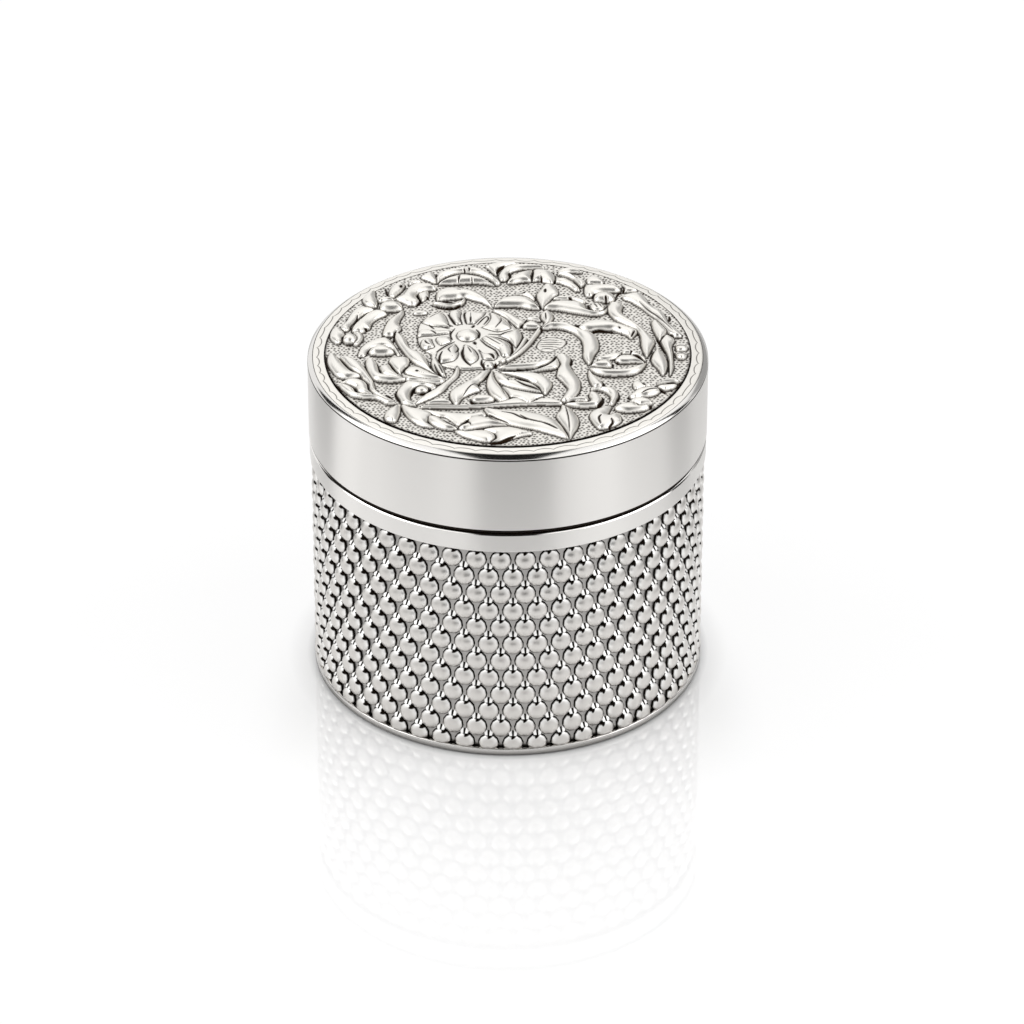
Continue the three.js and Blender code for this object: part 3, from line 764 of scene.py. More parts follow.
# Each motif: how high, how wide its rounded edge is, and points of its outline, in plan
sprays = [
    (0.1, 0.8, (5.4, 1.4), (6.2, 4), (7.8, 5), (10, 4.6), (11.2, 3.4), (10.6, 1.6), (9.4, 0.6),
     (8, -0.6), (6.4, -0.2)),
    (0.7, 0.7, (-9.6, -6), (-10.4, -9.2), (-11.8, -12), (-14.4, -15.4), (-16, -17.4),
     (-17.4, -20.4), (-15.2, -18.9), (-13, -16.8), (-11.7, -14.9), (-10.8, -12.8), (-9.4, -10.2),
     (-9, -7.8)),
    (1.1, 1.1, (-3.2, -7.4), (-5, -8.6), (-6.8, -11), (-9, -13.4), (-10.7, -15.6), (-10.9, -17.6),
     (-10, -20.4), (-9.2, -20.2), (-8.2, -17.8), (-6.4, -16.2), (-5.1, -15.3), (-5.5, -13),
     (-4.3, -10.8)),
    (0.7, 0.9, (-1.2, -13.6), (1.6, -15), (5, -16.2), (6.8, -16.8), (5.4, -18), (3.9, -19.8),
     (2.4, -18.4), (0.5, -17.6), (-0.1, -16.2)),
    (1.1, 0.9, (-2.8, -7.8), (-3.7, -10), (-4.1, -13.4), (-3.4, -16.6), (-2, -19), (-1.2, -19.9),
     (-0.2, -19.2), (0.3, -18), (-0.3, -16), (-1.4, -13.6), (-2.4, -10.8)),
    (1, 1, (-1.8, -8.3), (1.5, -8.7), (4.6, -8.8), (6.8, -9.9), (8.1, -11.7), (8.4, -13.4),
     (7.8, -15.2), (7, -16.7), (6.2, -15.4), (5, -12.8), (3.4, -11.4), (1.4, -10)),
    (1.1, 1.1, (-2.6, -9), (-0.4, -9.8), (0.6, -11.4), (2.6, -12), (4.9, -13.4), (6.3, -15.8),
     (4.2, -15.6), (1.4, -14.6), (-0.8, -13.4), (-2.2, -11.6)),
    (0.9, 0.5, (-1.6, -7.9), (2, -8.3), (5, -7.8), (7, -6.6), (8.6, -4.6), (9.3, -3.2),
     (9.8, -5.6), (9.2, -7.2), (7.4, -7.8), (5.2, -8.3), (2, -8.7)),
    (1.1, 0.9, (-1.8, -7), (0.4, -6.2), (3.4, -5.6), (6.4, -4.8), (8.2, -3.6), (9.1, -2),
     (8.6, -4.2), (7.2, -6), (5.4, -7.2), (2, -7.6), (-0.6, -7.6)),
    (1.1, 1.4, (9.2, -2.4), (10.2, -1.6), (11.6, -2.5), (12.1, -4), (11.9, -6.2), (12.8, -9.2),
     (13.7, -12), (13.6, -15), (12.7, -17.4), (11.2, -19.5), (9.9, -18.9), (10.5, -16.8),
     (11.1, -14.6), (10.3, -12.3), (9.1, -10), (9.3, -7.6), (9.8, -5.4)),
    (0.8, 0.5, (-15.4, -20.8), (-10, -20.7), (-5.6, -20.6), (-2, -19.9), (1, -18.3), (2.6, -18.6),
     (3.9, -19.9), (5.4, -18.9), (7.4, -18.1), (9.4, -18.9), (10.3, -19.9), (9.6, -20.7),
     (6, -20.6), (2, -20.9), (-2, -21.3), (-6, -21.7), (-11, -21.8), (-16, -21.8)),
    (1.1, 1, (-7, -18.6), (-6.2, -17.6), (-4.4, -17.2), (-2.8, -17.8), (-2.4, -18.8),
     (-3.2, -19.6), (-5.2, -20), (-6.6, -19.8)),
    (0.8, 0.8, (-15, -20.2), (-14.2, -19), (-12.6, -18.3), (-11.2, -18.7), (-10.4, -20.1),
     (-12.4, -20.3)),
    (0.9, 0.7, (-19.9, -9.6), (-18.2, -10.4), (-16, -11.2), (-13.4, -11.6), (-11.9, -10.9),
     (-11.6, -11.8), (-12.4, -12.9), (-14.4, -12.9), (-17, -12.2), (-19, -11.9)),
    (0.9, 0.9, (-19.3, -7.6), (-18.2, -6.5), (-16.6, -6.8), (-15, -8.2), (-13.4, -9.6),
     (-12, -10.6), (-13.4, -11.2), (-16, -10.8), (-18, -9.8), (-19.4, -8.8)),
    (1.1, 1, (-21.8, 6.6), (-20.2, 5.4), (-19.2, 3.6), (-18.8, 1.6), (-18, -0.2), (-16.4, -1.6),
     (-15.4, -3.4), (-14.9, -5.4), (-14.4, -7.6), (-13, -9.6), (-15.2, -7.8), (-17.4, -5.6),
     (-18.8, -3.4), (-20, -0.6), (-21, 2), (-21.6, 4.4)),
    (0.9, 0.8, (-13.6, -3.4), (-12.6, -5.6), (-11.9, -8), (-11.6, -10.2), (-12.6, -10),
     (-13.8, -8.2), (-14.5, -6), (-14.5, -4.2)),
    (1.1, 1.1, (-19, -12.2), (-16.6, -12.4), (-13.6, -13.4), (-13.2, -15), (-14.4, -15.6),
     (-14.7, -14.6), (-15.6, -13.9), (-16.8, -14.1), (-17.8, -15.2), (-18.2, -17), (-18, -19),
     (-17, -21), (-19.4, -20.6), (-20.4, -18.6), (-20.9, -16.6), (-20.4, -14.4)),
    (1, 1.1, (-23.9, 5.6), (-23.6, 8.4), (-22.8, 11.2), (-21.4, 13.4), (-20, 15), (-19.8, 13.6),
     (-20.4, 11.6), (-20.6, 9.6), (-20.2, 8), (-21, 6.2), (-21.8, 5), (-23, 4.8)),
    (0.9, 0.5, (-14.4, 17.6), (-13, 17.6), (-11.4, 17), (-9.8, 17.2), (-9, 18.4), (-8.3, 19.8),
     (-8.1, 18.2), (-9, 16.7), (-10.8, 15.9), (-12.8, 16.2), (-14.2, 16.8)),
    (1.2, 1.4, (-13.6, 18.6), (-13.9, 20.8), (-13.2, 22.6), (-11.4, 23.6), (-9, 23.3),
     (-6.8, 22.6), (-5.2, 21.2), (-4, 19.4), (-3.3, 17.4), (-2.8, 15.6), (-4.6, 17.6),
     (-6.4, 18.6), (-8.4, 19.6), (-9.8, 19.2), (-11.8, 18.9)),
    (0.8, 0.7, (-0.2, 21), (1.2, 21), (2.8, 22), (4.2, 21.8), (5.2, 20), (5, 18.6), (3.2, 20.4),
     (1, 20.7)),
    (1.2, 1.3, (-2.6, 16.2), (-2.2, 18), (-1, 19.5), (1, 20.2), (3, 20), (4.6, 18.9), (5.6, 17.2),
     (6.2, 15.4), (4.4, 15.3), (2.6, 16), (0.6, 16.2), (-1.2, 16.2)),
    (1.1, 1.2, (6.6, 15.6), (5.9, 18), (5.4, 20.6), (6.2, 23), (7, 24.8), (8.6, 24.8),
     (9.6, 23.2), (9.8, 21.4), (8.6, 19.6), (7.6, 17.6)),
    (0.8, 0.7, (8.6, 19.2), (10, 20.2), (11.6, 20), (13.4, 19.4), (15, 18.4), (14.6, 17.4),
     (12.6, 18.6), (10.4, 18.7)),
    (1.2, 1.2, (6.9, 15.4), (7.6, 17.2), (9.2, 18.2), (11.2, 18.4), (13.4, 18), (14.8, 17),
     (15.2, 15.4), (16, 14.6), (17.6, 14.2), (18.6, 15.2), (19, 16.8), (19.2, 15), (18.4, 13.4),
     (16.6, 12.8), (14.4, 13.2), (12, 14), (9.6, 14.8)),
    (1.2, 1.3, (6.4, 7.8), (7.6, 9.8), (9.4, 10.1), (11.6, 9.8), (13.2, 8.2), (14.6, 7),
     (16, 6.2), (17, 4.4), (17.4, 2), (17.2, -0.2), (16.4, -2.4), (15.9, -4.6), (15.2, -5.6),
     (14.2, -3), (14.2, 0), (14, 3), (13, 5.4), (11.4, 7), (9.2, 7.8), (7.6, 7.6)),
    (1.2, 1.3, (13.4, 8.4), (14.6, 10), (16.6, 11), (18.6, 10.9), (20.6, 10), (22.8, 8.6),
     (24.8, 6.8), (23.8, 4.4), (23.2, 4.2), (22.4, 5.4), (20.8, 6.6), (19.6, 7.2), (17.4, 7),
     (15.6, 6.8), (14.2, 7.2)),
    (1, 0.9, (6.3, 8.2), (7.4, 8.6), (8.4, 10.4), (8.8, 12.4), (8.2, 14.2), (7.2, 14.6),
     (6.3, 13.4), (6.3, 11.6), (6.9, 10)),
    (0.8, 0.6, (3.6, 11.4), (4.2, 12.2), (5.6, 12.2), (6.3, 11.2), (6.2, 10.6), (4.6, 10.8)),
    (0.9, 0.9, (3, 9.6), (4.2, 10.6), (5.6, 10.2), (6.4, 8.6), (5.8, 7.8), (3.6, 7.9),
     (2.8, 8.4)),
    (0.7, 0.8, (-3, 15), (-0.8, 14.8), (0.8, 13.6), (2.2, 11.8), (3.2, 10.6), (2.6, 9.2),
     (2, 8.2), (0.8, 10), (-0.4, 12), (-1.8, 13.6)),
    (1, 1.1, (15.2, -7.4), (16.2, -9.6), (17.4, -11.6), (18, -13.2), (17.7, -14.2), (16.2, -14.3),
     (15.4, -12.4), (15, -10)),
    (1.1, 1.1, (15.2, -7), (16.8, -7.4), (19, -7.8), (21.4, -7.8), (23.4, -7), (25.2, -5.8),
     (26.2, -4.8), (26, -6.2), (25, -8.2), (23.4, -9.6), (20.6, -10), (17.8, -9.8),
     (16.2, -8.8)),
    (1.1, 1.1, (15.6, -6.2), (16.6, -4.8), (18, -4.3), (19.4, -4.6), (19.8, -5.8), (19.2, -6.8),
     (17.4, -7), (16.2, -6.8)),
    (0.7, 0.8, (16.9, -3.4), (18.6, -1.8), (20.6, -1.2), (21.6, -2), (20.6, -3.2), (19.6, -3.8),
     (18, -4)),
    (0.9, 0.8, (21.6, -0.6), (23.4, -0.5), (24.6, -1.4), (25.8, -3.2), (26.2, -4.4), (24.6, -3.2),
     (23.2, -2.2), (21.8, -2)),
    (0.9, 0.9, (20.9, -2.6), (22.4, -2.2), (23.8, -2.4), (25.2, -4), (25.8, -5), (24, -5),
     (22.4, -5.2), (20.9, -5), (20.2, -4)),
    (1, 0.9, (15.6, -14.4), (17.6, -14.2), (19.4, -14.4), (20.6, -15.6), (20.8, -17.4),
     (20.2, -19.4), (19.6, -20.8), (18.6, -20.8), (19, -19), (18.9, -17.2), (18, -15.8),
     (16.8, -15.2), (15.6, -15.4)),
    (1.1, 0.9, (15.3, -16), (16.6, -16.4), (17.6, -17.8), (17.7, -19.6), (16.9, -21.2),
     (15.4, -21.6), (13.2, -21.6), (11.6, -21), (10.6, -20.2), (12.8, -20), (14.8, -19.9),
     (15.4, -18.6), (15.1, -17.4)),
    (1, 0.8, (10.7, -19.4), (12.2, -18.3), (13.8, -18), (14.9, -18.2), (15.1, -19.2),
     (14.6, -19.8), (13.6, -19.7), (12, -19.9)),
    (0.7, 0.9, (-17.2, 6), (-16.9, 9.6), (-15.6, 12.4), (-13.4, 14.2), (-11, 14.4), (-8.6, 14.7),
     (-6, 14.4), (-3.4, 14.4), (-1.2, 12.8), (0.4, 10.8), (1.6, 8.2), (2.8, 6), (2.8, 3),
     (1.8, 0.2), (0.6, -2.6), (-1.4, -4.8), (-3.2, -6.8), (-5.6, -7.2), (-8.4, -7.4),
     (-10.6, -6.8), (-13, -5.6), (-14.4, -3.4), (-14.6, -1.6), (-16, 0), (-17, 2.6)),
    (1.1, 1.2, (-8.2, 8.8), (-8.6, 11), (-8.5, 13.4), (-7.4, 14.4), (-5.6, 13.9), (-4, 14.2),
     (-4.2, 12.4), (-5.2, 10.4), (-6.2, 8.6)),
    (1.1, 1, (-10.2, 8.4), (-11.2, 11), (-11.4, 13.6), (-10, 14.6), (-8.8, 14), (-8.7, 11.4),
     (-8.5, 8.8)),
    (1.1, 1.5, (-11.8, 13), (-13.6, 14), (-15.6, 12.2), (-16.6, 9.8), (-15.2, 8.2), (-13.2, 7.4),
     (-10.6, 7.4), (-10.8, 9.8)),
    (1, 0.9, (-10.6, 6.8), (-13.4, 6.8), (-15.6, 7.4), (-17, 6.8), (-17.2, 4.6), (-15.4, 4.2),
     (-13.2, 4.4), (-10.9, 5)),
    (1.1, 1.1, (-11, 4.4), (-13.6, 4.2), (-14, 2.6), (-12.9, 0.6), (-11.4, 1.2), (-10.3, 2.4)),
    (1, 1.1, (-14.4, 3.8), (-16.4, 3.4), (-16.6, 1.2), (-15.4, -0.4), (-13.6, 0.2), (-13.9, 2.2)),
    (1.2, 1.4, (-10.2, 2), (-12, 0.4), (-13.6, -1.4), (-13.8, -4), (-12.6, -5.6), (-10.2, -5.2),
     (-9, -3.4), (-8.9, -1), (-9.2, 0.8)),
    (1.2, 1.2, (-8.6, 1.2), (-8.8, -1.6), (-8.4, -4.4), (-7, -6.2), (-5.4, -4.6), (-5.3, -2.4),
     (-6.2, -0.2), (-7.4, 1.2)),
    (1, 0.9, (-6.2, 1.4), (-5, -0.6), (-4.2, -1.8), (-2.2, -1.4), (-1.6, -3.2), (-2.6, -4.8),
     (-4.8, -4.6), (-5.4, -2.8), (-6, -0.6)),
    (1.2, 1.2, (-5.3, 3.2), (-3.6, 0.8), (-2, -1), (-1.2, -3.2), (0.2, -3), (0.9, -1), (0.6, 1),
     (-0.4, 2.8), (-2.4, 4.2), (-4.2, 4.8)),
    (1.2, 1.2, (-4.4, 5), (-1.6, 5), (0.8, 6.6), (2, 7.4), (2.8, 5.4), (2.6, 3), (1.6, 0.4),
     (1, 0.8), (-0.2, 2.9), (-2.2, 4.3)),
    (1.2, 1.4, (-5.6, 7.6), (-4, 6.4), (-2, 5.6), (-0.2, 6.4), (0.9, 7.6), (0.2, 9.8), (-1, 11.8),
     (-2.6, 13.6), (-3.7, 13.6), (-3.7, 11.2), (-4.6, 8.8)),
    (0.9, 0.7, (-4.6, -5), (-3, -5), (-2.6, -6.2), (-3.2, -7.2), (-4.6, -7)),
]
wreath = [
    (0.6, 0.9, (-16, -22), (-12, -22.8), (-7, -23.4), (-4.6, -22.6), (-4, -24.4), (-5.6, -24.9),
     (-7.2, -25.6), (-8.2, -26.8), (-9.2, -27.9), (-10.4, -26.4), (-11.6, -25), (-13.2, -24.4)),
    (1.1, 1.4, (-4.4, -21.8), (-1, -22.4), (2.6, -22.8), (5.8, -23.8), (8, -25.2), (9.6, -27.2),
     (10.6, -29.8), (11.2, -32.6), (8.6, -31.4), (5.2, -29.6), (1.6, -28.3), (-1.4, -26.8),
     (-3.4, -24.6)),
    (1.2, 1.6, (10.1, -20.6), (9.6, -22.4), (8.9, -24.4), (9.3, -26), (10.3, -28.6), (11, -30.6),
     (11.5, -32.7), (12.2, -31), (13, -28.8), (13.3, -26.4), (12.9, -24.4), (11.8, -22.2)),
    (0.9, 1, (-4.6, -29.4), (-2, -28.6), (0.6, -28.6), (3, -29.6), (4.6, -31), (2.4, -31.9),
     (0.8, -32.8), (-1.2, -34), (-3.2, -34.2), (-2.2, -32.6), (-2.4, -31), (-3.4, -30.2)),
    (1, 1.2, (-9.9, -29.8), (-8.6, -31.6), (-6, -33.2), (-3.9, -34), (-3, -33.4), (-2.3, -32.2),
     (-2.6, -31), (-4, -30), (-6.2, -29.8), (-8, -30)),
    (1, 1.1, (-14.4, -24.6), (-12.6, -25.4), (-11.2, -27.2), (-9.9, -28.4), (-9.3, -29.4),
     (-11.4, -29.6), (-13.2, -28.6), (-14.4, -27.2), (-15, -25.6)),
    (1.1, 1.1, (-7.2, -25.6), (-5.6, -24.9), (-3.6, -25.4), (-2.2, -26.4), (-0.4, -27.6),
     (-0.2, -28.2), (-2.8, -28.2), (-5.4, -29), (-8, -29.9), (-9.2, -29.2), (-8.8, -28.2),
     (-7.6, -27.2)),
    (1.1, 1.2, (-20.1, -20.4), (-21.8, -21.8), (-22.9, -23.8), (-22.8, -26), (-21.4, -27),
     (-20.6, -26.4), (-20.2, -25), (-19.9, -23)),
    (1, 1.2, (-19.8, -20.4), (-18, -21.4), (-16, -22.2), (-14.2, -23.6), (-14.5, -25.4),
     (-14.8, -27), (-13.6, -28.8), (-16, -28.2), (-17.8, -26.4), (-19, -24.2), (-19.7, -22.2)),
    (0.9, 1.1, (-31.8, -13.4), (-30.4, -13.2), (-28.9, -14.6), (-28.2, -16.2), (-26.2, -16.9),
     (-24.4, -17.2), (-22.4, -18.8), (-20.6, -20.1), (-22.6, -20.3), (-24.4, -18.6),
     (-27.4, -18.2), (-29.2, -17.4), (-30.6, -15.6)),
    (1, 1.1, (-31.2, -12.6), (-30, -11.2), (-28.2, -11.2), (-26.8, -12.2), (-26.1, -13.8),
     (-25.9, -15.4), (-25.2, -16.6), (-27, -16.5), (-28.2, -15.6), (-28.6, -14.2), (-30, -13)),
    (1.1, 1.2, (-31.8, -3), (-30, -3), (-28.4, -4.2), (-27.2, -6), (-26.4, -8.4), (-25.6, -10.6),
     (-25, -12.6), (-24.6, -15), (-23.4, -17), (-21.6, -18.9), (-20.4, -20), (-22.4, -19.6),
     (-24.6, -17.2), (-26, -15), (-26.2, -13), (-27.2, -11.2), (-28, -9.6), (-29.6, -7.6),
     (-30.8, -5.4)),
    (1.1, 1.3, (-33.7, -1.4), (-34.2, -3.4), (-34, -5.6), (-33.2, -8), (-32.2, -10), (-30.6, -11),
     (-28.8, -10.8), (-27.6, -9.8), (-29.4, -8.2), (-30.6, -6.2), (-31.6, -4), (-32.4, -2.4)),
    (1.1, 1, (-26.6, -3.6), (-25.2, -4), (-24.5, -5.6), (-24.3, -7.4), (-23.8, -9.2), (-22, -10),
     (-20.2, -10.9), (-18.9, -10.8), (-19.2, -11.7), (-21, -12.2), (-23, -12.2), (-25, -11.6),
     (-26, -9.8), (-26.7, -7.2), (-26.9, -5)),
    (0.9, 0.9, (-24.2, -6.6), (-22.4, -5.8), (-21.6, -7.6), (-20.6, -9.4), (-19.4, -10.8),
     (-21.6, -10.3), (-23.4, -9.4), (-24, -8)),
    (1, 1, (-22.2, -3.4), (-20, -2.9), (-18.6, -3.6), (-18.6, -5.6), (-19.4, -7.2), (-20, -8.8),
     (-19.4, -10), (-20.6, -8.8), (-21.8, -6.8), (-22.5, -4.8)),
    (0.6, 0.8, (-28.4, -2.4), (-28, 0.6), (-26.6, 3), (-24.4, 4.6), (-22.6, 4.4), (-21.6, 2.2),
     (-20.8, -0.2), (-20.2, -2.2), (-21, -2), (-21.8, 0.2), (-23.4, 1.6), (-25.2, 1.2),
     (-26.4, -0.2), (-27, -2.4)),
    (1.3, 1.5, (-26.4, -1.2), (-25.8, 0.4), (-24.6, 1.2), (-23.2, 1), (-22, 0), (-21.4, -1.4),
     (-22.4, -2.2), (-24, -2.4), (-25.6, -2.2)),
    (0.8, 0.6, (-29.6, 6.4), (-28.2, 6.2), (-27.4, 4.6), (-27.8, 2.8), (-28.6, 1.4), (-29.4, 1.8),
     (-28.9, 3.4), (-29, 5)),
    (1, 1.2, (-33.2, 8), (-32, 8), (-30.9, 6.2), (-31.2, 4.8), (-31.4, 3.2), (-32.4, 2),
     (-33.4, 3.2), (-33.9, 4.6), (-33.8, 6.6)),
    (0.9, 1, (-32, 8.2), (-31, 10.6), (-30.4, 12.8), (-29.4, 15.2), (-27.8, 16.2), (-25.6, 15.2),
     (-27.2, 13.6), (-28.6, 11.6), (-29.8, 9.2), (-30.2, 7.4), (-31, 6.8)),
    (1.1, 1.4, (-29.7, 6.6), (-29.5, 9), (-28.2, 11.6), (-26.6, 14), (-25, 14.9), (-23.6, 14.4),
     (-23.1, 13.2), (-24.6, 11.8), (-25.8, 10), (-26.2, 7.8), (-26.8, 7.4), (-28, 6)),
    (1, 1.1, (-25.2, 16), (-27, 16.6), (-28, 18.4), (-27.8, 20.2), (-26.6, 22), (-25.6, 22.6),
     (-25.4, 20.4), (-25, 18.4)),
    (1.3, 1.6, (-24.6, 15.2), (-24.6, 16.8), (-23.8, 17.7), (-22.2, 18), (-20.6, 17.4),
     (-20.1, 16), (-20.3, 14.8), (-22, 14.3), (-23.8, 14.5)),
    (0.9, 0.7, (-25, 18.2), (-24.6, 19.4), (-23.4, 19.8), (-22.2, 19.4), (-21.8, 18.4),
     (-23, 18.3), (-24.2, 17.8)),
    (1, 1.1, (-22.8, 20), (-23, 22), (-22.2, 24.4), (-20.8, 25.8), (-19.8, 24.8), (-20.2, 22.8),
     (-21.2, 21), (-22, 19.8)),
    (1.1, 1.3, (-21.6, 19.2), (-20.6, 20.6), (-19.8, 22.4), (-19, 24.2), (-17.6, 25.4),
     (-15.4, 25), (-13.8, 24), (-14, 22.8), (-15.6, 22.4), (-17, 21.6), (-17.5, 20.2),
     (-16.9, 18.2), (-18, 16.6), (-19.2, 16.8), (-20.2, 17.8)),
    (0.7, 0.7, (-17.3, 21.2), (-15.4, 22.3), (-15.2, 20.4), (-16.2, 18.6), (-16.8, 18.9)),
    (0.6, 0.6, (-18.2, 14), (-17.4, 14.8), (-15.6, 14.6), (-15.4, 13.8), (-16.6, 13.2),
     (-17.8, 13.3)),
    (1, 1, (-13.7, 25.6), (-13.9, 28), (-13, 29.6), (-10.8, 30.8), (-8.4, 31.4), (-5.8, 31.2),
     (-4, 29.6), (-2.4, 27.6), (-1.3, 25.4), (-2.2, 24.6), (-3.2, 26.4), (-4.8, 28.2), (-7, 29.2),
     (-9.4, 29.2), (-11.6, 28.2), (-12.8, 26.8)),
    (1.2, 1.4, (-13.4, 25), (-12.4, 26.6), (-10.8, 27.8), (-8.8, 28.6), (-6.8, 28.2),
     (-4.8, 27.2), (-3.4, 25.6), (-2.4, 24.4), (-4.6, 25), (-7, 25.2), (-9.4, 25),
     (-11.6, 24.8)),
    (0.8, 0.9, (-16.9, 27.6), (-16.4, 28.8), (-15.4, 29.6), (-14.4, 29.6), (-14, 28.4),
     (-13.6, 26.4), (-14, 25.4), (-15.4, 26.4)),
    (0.8, 0.7, (-19.2, 25.6), (-18.2, 26.4), (-16.8, 26.4), (-16.8, 25.6), (-18, 24.6),
     (-19, 24.6)),
    (0.9, 0.9, (-4.4, 32.2), (-2.4, 33.4), (0.4, 33.8), (1.8, 33.2), (-0.4, 32), (-1.8, 30.2),
     (-2.2, 28.4), (-2.8, 29.2), (-3.8, 31)),
    (0.9, 1, (-1.6, 26.6), (-1.8, 29), (-0.6, 31.6), (1.4, 32.8), (4, 32.8), (6.4, 32.4),
     (7.2, 31.2), (5, 31), (2.2, 30.6), (0.6, 29.4), (0.2, 27.4), (-0.6, 26.2)),
    (1.1, 1.3, (-0.2, 25.4), (0.4, 27.4), (1.8, 29.2), (3.6, 30.2), (4.9, 30.4), (4.6, 28.2),
     (4.5, 26.2), (2.6, 25.8), (1, 25.2)),
    (1.1, 1.4, (4.9, 30.5), (6.6, 30.8), (8.2, 30.2), (9.1, 28.6), (9.2, 26.8), (8.6, 25.2),
     (7.2, 25.6), (6, 26.4), (4.8, 26.2), (4.7, 28.4)),
    (0.8, 0.7, (9.9, 30.4), (11.4, 31.4), (13.4, 31), (14.4, 30), (14.2, 29.4), (12.4, 29.6),
     (10.8, 29), (9.6, 28.6)),
    (0.8, 0.8, (9.4, 27.2), (11, 27.4), (12.4, 26), (13.6, 24.2), (14, 22.6), (13, 22.4),
     (11.8, 24), (10.4, 25.2), (9.2, 25.8)),
    (1, 0.8, (10, 28.6), (11.4, 29.2), (12.6, 28.4), (13.6, 26.8), (15, 25.4), (14.2, 23.8),
     (13.6, 24.6), (12.6, 26.6), (11.2, 27.8)),
    (0.8, 0.9, (15.4, 25.4), (15.2, 27), (16, 28.2), (17.6, 28), (18.6, 26.6), (18.4, 25.2),
     (17, 25.1)),
    (1, 1.2, (15, 20.4), (14.6, 22.4), (15, 24.4), (16.6, 24.8), (19, 24.9), (21.2, 24.4),
     (21.9, 22.8), (20.8, 21.8), (18.6, 21.9), (17, 21.4), (16.2, 20.2)),
    (0.8, 0.7, (21, 18.6), (21, 20.6), (22, 21.9), (23.8, 21.8), (25, 22.4), (24.8, 23.2),
     (23.4, 24.2), (22.2, 24.6), (22, 23), (22.4, 22.2), (21.2, 21.4), (20.9, 19.8)),
    (1.3, 1.5, (16.4, 19.4), (16.8, 20.8), (18, 21.5), (19.8, 21.3), (20.6, 20.2), (20.6, 18.8),
     (19.6, 17.9), (18, 17.9), (16.8, 18.3)),
    (1, 1.2, (22, 20.4), (23.4, 21.4), (25.4, 21.6), (26.4, 20.2), (27.2, 18), (28.4, 15.8),
     (29.8, 14.2), (30.4, 12), (31, 9.6), (32.4, 7.4), (33.2, 5), (31.8, 4.6), (30.6, 6),
     (29.4, 8.6), (28.4, 11.4), (26.8, 13.8), (25.4, 16), (23.6, 18.2), (22.2, 19.2)),
    (1.1, 1, (19.6, 17.6), (21.4, 17.8), (22.2, 16.6), (21.9, 14.8), (22.2, 13.2), (23.2, 11.6),
     (24.2, 10.4), (25.4, 8.4), (26.6, 6.2), (28, 3.2), (27.6, 1), (26.4, -2.8), (25.6, -1),
     (25.2, 2), (25, 5.4), (24, 7.6), (22, 9.6), (20.2, 11.6), (19.2, 14), (19.1, 16.2)),
    (1.1, 1.1, (27.4, 10.2), (28.2, 11.2), (29.4, 9.2), (30.4, 7), (30, 5.4), (28.9, 3.4),
     (28.2, 4.8), (27.6, 7.4)),
    (1, 1, (29, 3.2), (30, 5.4), (31.2, 4.6), (31.8, 3.4), (31.3, 1.6), (31.3, -1), (31.4, -4),
     (31.2, -7.6), (30.4, -9.8), (30.3, -7), (30.3, -4.4), (30, -1.6), (29.4, 0.8)),
    (1.1, 1.3, (27, -4), (27.4, -1.6), (28.4, 0.6), (29.2, -1), (30, -3.4), (30.2, -6),
     (29.8, -8.6), (29, -9.6), (28.2, -7.4), (27.4, -5.6)),
    (0.9, 0.6, (31.8, 1.8), (33, 2), (34, 1.4), (34.1, 0), (33.2, -0.9), (31.9, -0.6)),
    (0.9, 0.6, (31.7, -1.3), (33, -1.5), (34, -1.3), (33.8, -3), (33, -3.8), (31.9, -3.2)),
    (0.7, 0.7, (23.3, -12.6), (24.4, -11.6), (25.6, -12.4), (27, -13.4), (25.2, -14.2),
     (23.8, -14.8)),
    (1.1, 1.2, (22.6, -17.4), (24, -15.2), (25.8, -14.2), (27.6, -14.2), (28.6, -15.4),
     (27.8, -16.8), (26.4, -17.6), (25, -17.8), (23.8, -18.6)),
    (1, 0.9, (27.6, -13.4), (29, -12), (30.4, -11.2), (31.8, -11.6), (32.2, -12.4), (31.2, -12.9),
     (29.4, -12.9)),
    (0.9, 0.9, (28, -13.8), (30.4, -13.2), (31.8, -13.2), (31.4, -14.2), (30.4, -15),
     (29.2, -15.4)),
    (1, 0.9, (20.4, -20.4), (22.6, -18.9), (24.8, -18), (26.4, -18.6), (27.1, -20.2),
     (26.2, -20.6), (24.6, -20.8), (23.6, -19.9), (22, -19.7)),
    (1.1, 1.2, (19.8, -21.8), (20.8, -20.4), (22.6, -19.8), (24.2, -20.4), (24.6, -21),
     (26.2, -20.4), (26.6, -21.2), (26, -22.2), (24.8, -22.9), (22.4, -23.3), (20.6, -22.8)),
    (1.1, 1.3, (15.4, -23.2), (16.6, -22), (18.2, -21), (19.4, -21.2), (19, -22.8), (18.8, -24.2),
     (20.2, -23.4), (21, -24.4), (21.2, -26.2), (20.4, -27.6), (19.4, -28.4), (18, -29.2),
     (16.9, -29.2), (16.2, -28.2), (15.4, -26.2), (15.1, -24.6)),
]
bosses = [
    (1.35, 1.2, 1, -16.1, -15.3, 1),
    (1.5, 1.6, 0.8, 17.2, 16.2, 1),
    (1.5, 1.7, 1.3, -30, 3.6, 2),
    (2.3, 2.6, 1.5, -7.7, 4.5, 1),
]
stems = [
    (0.75, (-1.4, -5), (1, -2.4), (2.3, 0.4), (3.4, 4)),
    (0.75, (-0.4, -4.6), (2.4, -1), (4.4, 3), (6.2, 8)),
]
for number, shapes in ((1, sprays), (2, wreath)):
    for crest, soft, *points in shapes:
        raise_shape(crest, soft, number, *points)
stem_half_width = 0.5
for crest, *points in stems:
    moved = [(x, y + trace_shift) for x, y in points]
    area, share, across = beside(moved, stem_half_width)
    within = (share > 0) & (share < 1) & (np.abs(across) < stem_half_width)
    dome = np.sqrt(np.clip(1 - (across / stem_half_width) ** 2, 0, 1))
    raise_to(area, crest * within * dome, 1)
for boss in bosses:
    raise_boss(*boss)

